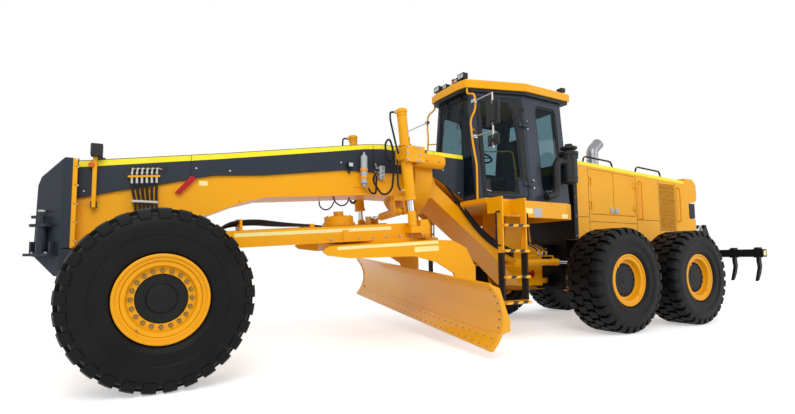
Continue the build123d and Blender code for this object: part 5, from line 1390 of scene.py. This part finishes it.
# %% Ladder edges, straps and platform screws
edging, straps, screws = bmesh.new(), bmesh.new(), bmesh.new()
for side in (1, -1):
    for z in (0.560, 0.920, 1.290, 1.650):
        slab(edging, (2.737, 3.153), (side * 1.2995, side * 1.3035), (z - 0.035, z + 0.001))
        slab(edging, (2.737, 3.153), (side * 1.230, side * 1.3035), (z - 0.001, z + 0.003))
        for x in (2.7235, 3.1675):
            hex_bolts(screws, [(x, side * 1.2505, z - 0.018)], (0, side, 0), 0.018, 0.010)
    for x in (2.710, 3.155):
        slab(straps, (x - 0.004, x + 0.029), (side * 1.146, side * 1.254), (0.575, 1.245))
    for x in (3.15, 2.66, 2.10, 1.72):
        ball(screws, (x, side * 0.950, 2.030), 0.009)
done("ladder_hazard_edging", edging, "front_frame", stripe_tape)
done("ladder_rubber_straps", straps, "front_frame", hose_rubber, 0.003)
done("platform_screws", screws, "front_frame", zinc_plate)

# %% [markdown]
# ## Front of the hood
# The hood's front wall is a black bulkhead, bolted at its edges. Black rails run along
# the hood's top, and a red lock bar beside the pivot keeps the machine straight when it
# is carried on a trailer.

# %% Bulkhead, top rails and lock bar
wall = bmesh.new()
slab(wall, (0.9385, 0.944), (-0.652, 0.652), (1.492, 2.702))
pair(wall, (0.852, 0.944), (0.6495, 0.6535), (1.492, 2.702))
slab(wall, (0.852, 0.944), (-0.652, 0.652), (2.6995, 2.703))
done("hood_bulkhead", wall, "rear_frame", black_enamel, 0.002)
bolts = bmesh.new()
for side in (1, -1):
    for z in (1.56, 1.90, 2.24, 2.58):
        ball(bolts, (0.900, side * 0.6535, z), 0.010)
done("hood_bulkhead_screws", bolts, "rear_frame", zinc_plate)
for hand, side in hands:
    for place, start, end in (("front", 0.610, -0.220), ("rear", -0.910, -1.740)):
        y = side * (HOOD_HALF - 0.050)
        foot, tail = hood_top(start), hood_top(end)
        bent_pipe(f"hood_rail_{place}_{hand}", [(start, y, foot + 0.002),
            (start - 0.040, y, foot + 0.120), (end + 0.040, y, tail + 0.120), (end, y, tail + 0.002)],
            0.0165, "rear_frame", black_enamel, 0.05, 8)
lock = bmesh.new()
for side in (1, -1):
    slab(lock, (1.62, 1.86), (side * 0.300, side * 0.345), (0.870, 0.930))
    bar(lock, (1.65, side * 0.322, 0.84), (1.65, side * 0.322, 0.96), 0.022, 16)
    bar(lock, (1.83, side * 0.322, 0.84), (1.83, side * 0.322, 0.96), 0.022, 16)
done("frame_lock_bars", lock, "front_frame", pipe_red, 0.003)

# %% [markdown]
# ## Articulation cylinders
# Each steering cylinder of the frame has a screwed gland, two feed pipes with steel
# fittings and a pipe clipped along its top.

# %% Articulation cylinder pipes
JOINT_Y, JOINT_Z = 0.550, 1.100
for hand, side in hands:
    y = side * JOINT_Y
    pipes = bmesh.new()
    collar(pipes, 0.0545, 0.061, 0, 0.035, (1.300, y, JOINT_Z), AHEAD, 36)
    collar(pipes, 0.0545, 0.059, 0, 0.012, (1.420, y, JOINT_Z), AHEAD, 36)
    for x in (1.40, 2.02):
        slab(pipes, (x - 0.018, x + 0.018), (y - 0.018, y + 0.018), (1.145, 1.176))
    done(f"joint_barrel_rings_{hand}", pipes, f"joint_barrel_{hand}", yellow_enamel, 0.002)
    bent_pipe(f"joint_feed_pipe_{hand}", [(1.40, y, 1.175), (1.40, y, 1.205), (1.98, y, 1.205),
        (2.02, y, 1.175)], 0.009, f"joint_barrel_{hand}", yellow_enamel, 0.03, 8)
    ends = bmesh.new()
    for x in (1.56, 1.66, 1.76):
        bar(ends, (x, y, 1.225), (x, y, 1.265), 0.014, 6)
        ball(ends, (x, y, 1.275), 0.016)
        slab(ends, (x - 0.016, x + 0.016), (y - 0.016, y + 0.016), (1.195, 1.228))
    done(f"joint_feed_fittings_{hand}", ends, f"joint_barrel_{hand}", zinc_plate, 0.001)
    for n, x in enumerate((1.56, 1.66, 1.76)):
        bent_pipe(f"joint_feed_hose_{n + 1}_{hand}", [(x, y, 1.278), (x + 0.04, y, 1.33),
            (x + 0.20, y - side * 0.06, 1.42), (x + 0.26, y - side * 0.08, 1.47)], 0.012,
            f"joint_barrel_{hand}", hose_rubber, 0.08)

# %% [markdown]
# ## Air cleaner
# The air cleaner is a moulded drum with ribs, band clamps and a pre-cleaner bowl on top.

# %% Air cleaner details
CLEANER = (1.435, 0.985)
drum = bmesh.new()
for z, wide, tall, inner in ((2.470, 0.132, 0.018, 0.125), (2.580, 0.130, 0.012, 0.125),
        (2.800, 0.133, 0.030, 0.125), (2.872, 0.1475, 0.026, 0.145)):
    collar(drum, inner, wide, 0, tall, (*CLEANER, z), UP, 48)
turned_disc(drum, [(-0.018, 0), (-0.018, 0.055), (0.002, 0.10), (0.002, 0)], (*CLEANER, 2.399), UP, 40)
for i in range(6):
    angle = math.pi * i / 3
    spot = Vector((CLEANER[0] + 0.130 * math.cos(angle), CLEANER[1] + 0.130 * math.sin(angle), 2.82))
    slab(drum, (spot.x - 0.010, spot.x + 0.010), (spot.y - 0.010, spot.y + 0.010), (2.79, 2.865))
collar(drum, 0.061, 0.068, 0, 0.03, (1.600, 0.985, 2.740), AHEAD, 32)
done("air_cleaner_bands", drum, "front_frame", housing_plastic, 0.003)
bowl = bmesh.new()
turned_disc(bowl, [(0.0, 0), (0.0, 0.060), (0.010, 0.075), (0.018, 0.132), (0.034, 0.134),
    (0.052, 0.085), (0.062, 0.062), (0.084, 0.055), (0.085, 0)], (*CLEANER, 2.958), UP, 48)
done("pre_cleaner_bowl", bowl, "front_frame", housing_plastic, 0.002)

# %% [markdown]
# ## Operator's seat
# The seat is upholstered foam over a pressed pan, covered in woven cloth with a stitched
# seam round its rim and three sewn channels. Each cushion starts as a grid wrapped over a
# rounded box: its crown falls away towards the rim, its sides draw in between the
# corners, and a channel is a shallow groove across it. A subdivision surface keeps the
# curves smooth.


# %% Cushion maker
def cushion(name, centre, size, lean, channels):
    """A crowned cushion: width across, depth along, thickness up, leaning back about Y."""
    depth, width, thick = size
    rows, columns, pull = 22, 22, 0.035
    gathered = bmesh.new()
    place = Matrix.Translation(centre) @ Matrix.Rotation(lean, 4, "Y")
    layers = []
    for face in (1, -1):
        layer = []
        for i in range(rows + 1):
            line = []
            for j in range(columns + 1):
                u, v = 2 * i / rows - 1, 2 * j / columns - 1
                x = u * (1 - pull * (1 - v * v) * abs(u) ** 3) * depth / 2
                y = v * (1 - pull * (1 - u * u) * abs(v) ** 3) * width / 2
                crown = (1 - abs(u) ** 5) ** 0.5 * (1 - abs(v) ** 5) ** 0.5
                z = face * thick * (0.16 + 0.34 * crown)
                if face > 0:
                    for channel in channels:
                        z -= 0.012 * math.exp(-((x / depth * 2 - channel) / 0.045) ** 2) * crown
                line.append((x, y, z))
            layer.append(line)
        layers.append(layer)
    grids = [[[gathered.verts.new(place @ Vector(p)) for p in line] for line in layer]
        for layer in layers]
    for face, grid in zip((1, -1), grids):
        for i in range(rows):
            for j in range(columns):
                quad = (grid[i][j], grid[i + 1][j], grid[i + 1][j + 1], grid[i][j + 1])
                gathered.faces.new(quad if face > 0 else tuple(reversed(quad)))
    top, bottom = grids
    rim = ([(0, j) for j in range(columns)] + [(i, columns) for i in range(rows)]
        + [(rows, j) for j in range(columns, 0, -1)] + [(i, 0) for i in range(rows, 0, -1)])
    for (i, j), (k, l) in zip(rim, rim[1:] + rim[:1]):
        gathered.faces.new((top[i][j], top[k][l], bottom[k][l], bottom[i][j]))
    piece = done(name, gathered, "front_frame", seat_fabric)
    smooth = piece.modifiers.new("foam", "SUBSURF")
    smooth.levels = smooth.render_levels = 1
    return piece


FLOOR = 2.110
seat = cushion("seat_cushion", (1.960, 0, FLOOR + 0.390), (0.520, 0.500, 0.130), math.radians(-3),
    (-0.35, 0.1, 0.5))
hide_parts("cab_interior")
back = cushion("seat_back", (1.715, 0, FLOOR + 0.760), (0.620, 0.480, 0.120), math.radians(-82),
    (-0.45, -0.05, 0.35))
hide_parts("cab_interior")
head = cushion("seat_headrest", (1.650, 0, FLOOR + 1.120), (0.170, 0.290, 0.090), math.radians(-82), ())
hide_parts("cab_interior")
for hand, side in hands:
    arm = cushion(f"armrest_{hand}", (2.010, side * 0.355, FLOOR + 0.565), (0.360, 0.100, 0.060), 0.0,
        ())
    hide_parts("cab_interior")

# %% [markdown]
# The rest of the workplace is moulded plastic and steel: seat base, arm consoles with
# small levers, the steering column, the wheel and two pedals.

# %% Consoles, column and wheel
base = bmesh.new()
slab(base, (1.760, 2.140), (-0.190, 0.190), (FLOOR + 0.0005, FLOOR + 0.16))
slab(base, (1.800, 2.100), (-0.150, 0.150), (FLOOR + 0.15, FLOOR + 0.30))
slab(base, (1.730, 2.180), (-0.230, 0.230), (FLOOR + 0.29, FLOOR + 0.325))
done("seat_base", base, "front_frame", cabin_plastic, 0.015)
for hand, side in hands:
    console = bmesh.new()
    slab(console, (1.810, 2.190), (side * 0.305, side * 0.415), (FLOOR + 0.20, FLOOR + 0.53))
    slab(console, (1.850, 2.120), (side * 0.315, side * 0.405), (FLOOR + 0.0005, FLOOR + 0.22))
    for n in range(3):
        x = 2.095 + 0.035 * n
        bar(console, (x, side * 0.36, FLOOR + 0.52), (x + 0.01, side * 0.36, FLOOR + 0.62), 0.006, 10)
        ball(console, (x + 0.011, side * 0.36, FLOOR + 0.63), 0.014)
    piece = done(f"arm_console_{hand}", console, "front_frame", cabin_plastic, 0.012)
    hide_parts("cab_interior")
column = bmesh.new()
slab(column, (2.490, 2.750), (-0.150, 0.150), (FLOOR + 0.0005, FLOOR + 0.20))
cut_plate(column, side_outline([(2.565, FLOOR + 0.19), (2.695, FLOOR + 0.19), (2.560, FLOOR + 0.77),
    (2.460, FLOOR + 0.77)], -0.080), (0, 0.160, 0))
for y in (-0.10, 0.10):
    slab(column, (2.380, 2.470), (y - 0.04, y + 0.04), (FLOOR + 0.03, FLOOR + 0.05))
    bar(column, (2.44, y, FLOOR + 0.04), (2.50, y, FLOOR + 0.10), 0.010, 10)
piece = done("steering_column", column, "front_frame", cabin_plastic, 0.012)
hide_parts("cab_interior")
wheel = bmesh.new()
tilt = Vector((-0.35, 0, 1)).normalized()
hub = Vector((2.470, 0, FLOOR + 0.800))
rim = [(0.016 * math.sin(a), 0.190 + 0.016 * math.cos(a)) for a in (2 * math.pi * i / 12
    for i in range(12))]
turned_ring(wheel, rim, hub, tilt, 56)
turned_disc(wheel, [(-0.02, 0), (-0.02, 0.05), (0.012, 0.055), (0.018, 0)], hub, tilt, 32)
spin = facing(tilt)
for a in (0.0, 2.1, 4.2):
    out = around(spin, a)
    bar(wheel, hub + out * 0.04, hub + out * 0.185, 0.011, 10)
piece = done("steering_wheel", wheel, "front_frame", cabin_plastic, 0.001)
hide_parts("cab_interior")

# %% [markdown]
# ## Studio
# A white floor under a white, even sky, with one large soft key from the camera's side and
# a weaker fill, gives the flat brochure light in which the colours read as painted. The
# floor only darkens where the machine stands.

# %% Floor, sky and lights
FLOOR_HALF, FLOOR_GLOW, SKY_FILL = 60.0, 0.42, 0.75


def seen_rays(tree):
    """1 on rays that show the studio itself: from the camera, mirrored or through glass."""
    rays = tree.nodes.new("ShaderNodeLightPath")
    chosen = rays.outputs["Is Camera Ray"]
    for kind in ("Is Glossy Ray", "Is Transmission Ray"):
        either = tree.nodes.new("ShaderNodeMath")
        either.operation = "MAXIMUM"
        tree.links.new(chosen, either.inputs[0])
        tree.links.new(rays.outputs[kind], either.inputs[1])
        chosen = either.outputs[0]
    return chosen


floor_mesh = bpy.data.meshes.new("studio_floor")
wide = FLOOR_HALF
floor_mesh.from_pydata([(-wide, -wide, 0), (wide, -wide, 0), (wide, wide, 0), (-wide, wide, 0)], [],
    [(0, 1, 2, 3)])
floor = bpy.data.objects.new("studio_floor", floor_mesh)
bpy.context.scene.collection.objects.link(floor)
floor_paint, floor_shader = new_finish("white_studio_floor")
floor_shader.inputs["Base Color"].default_value = (0.86, 0.86, 0.86, 1)
floor_shader.inputs["Roughness"].default_value = 0.75
tree = floor_paint.node_tree
glow = add_node(floor_paint, "Emission", Color=(1, 1, 1, 1))
share = add_node(floor_paint, "Math", {"operation": "MULTIPLY"}, i0=seen_rays(tree), i1=FLOOR_GLOW)
wire(floor_paint, share.outputs[0], glow.inputs["Strength"])
both = add_node(floor_paint, "AddShader", i0=floor_shader.outputs[0], i1=glow.outputs[0])
wire(floor_paint, both.outputs[0], tree.nodes["Material Output"].inputs["Surface"])
floor_mesh.materials.append(floor_paint)

world = bpy.data.worlds.new("white_studio")
bpy.context.scene.world = world
world.use_nodes = True
sky = world.node_tree
sky.nodes["Background"].inputs["Color"].default_value = (1, 1, 1, 1)
sky.nodes["Background"].inputs["Strength"].default_value = SKY_FILL
seen = sky.nodes.new("ShaderNodeBackground")
seen.inputs["Color"].default_value = (1, 1, 1, 1)
seen.inputs["Strength"].default_value = 1.0
pick = sky.nodes.new("ShaderNodeMixShader")
sky.links.new(seen_rays(sky), pick.inputs[0])
sky.links.new(sky.nodes["Background"].outputs[0], pick.inputs[1])
sky.links.new(seen.outputs[0], pick.inputs[2])
sky.links.new(pick.outputs[0], sky.nodes["World Output"].inputs["Surface"])


def soft_lamp(name, place, target, size, watts):
    data = bpy.data.lights.new(name, "AREA")
    data.energy = watts
    data.size = size
    lamp = bpy.data.objects.new(name, data)
    lamp.location = place
    lamp.rotation_euler = (Vector(target) - Vector(place)).to_track_quat("-Z", "Y").to_euler()
    bpy.context.scene.collection.objects.link(lamp)


soft_lamp("key_light", (9.0, 9.0, 9.0), (3.0, 0.5, 1.2), 6.0, 620)
soft_lamp("fill_light", (-6.0, 9.0, 5.0), (-1.0, 0.5, 1.5), 5.0, 220)
bpy.context.scene.view_settings.view_transform = "Standard"
print("lights", len(bpy.data.lights))
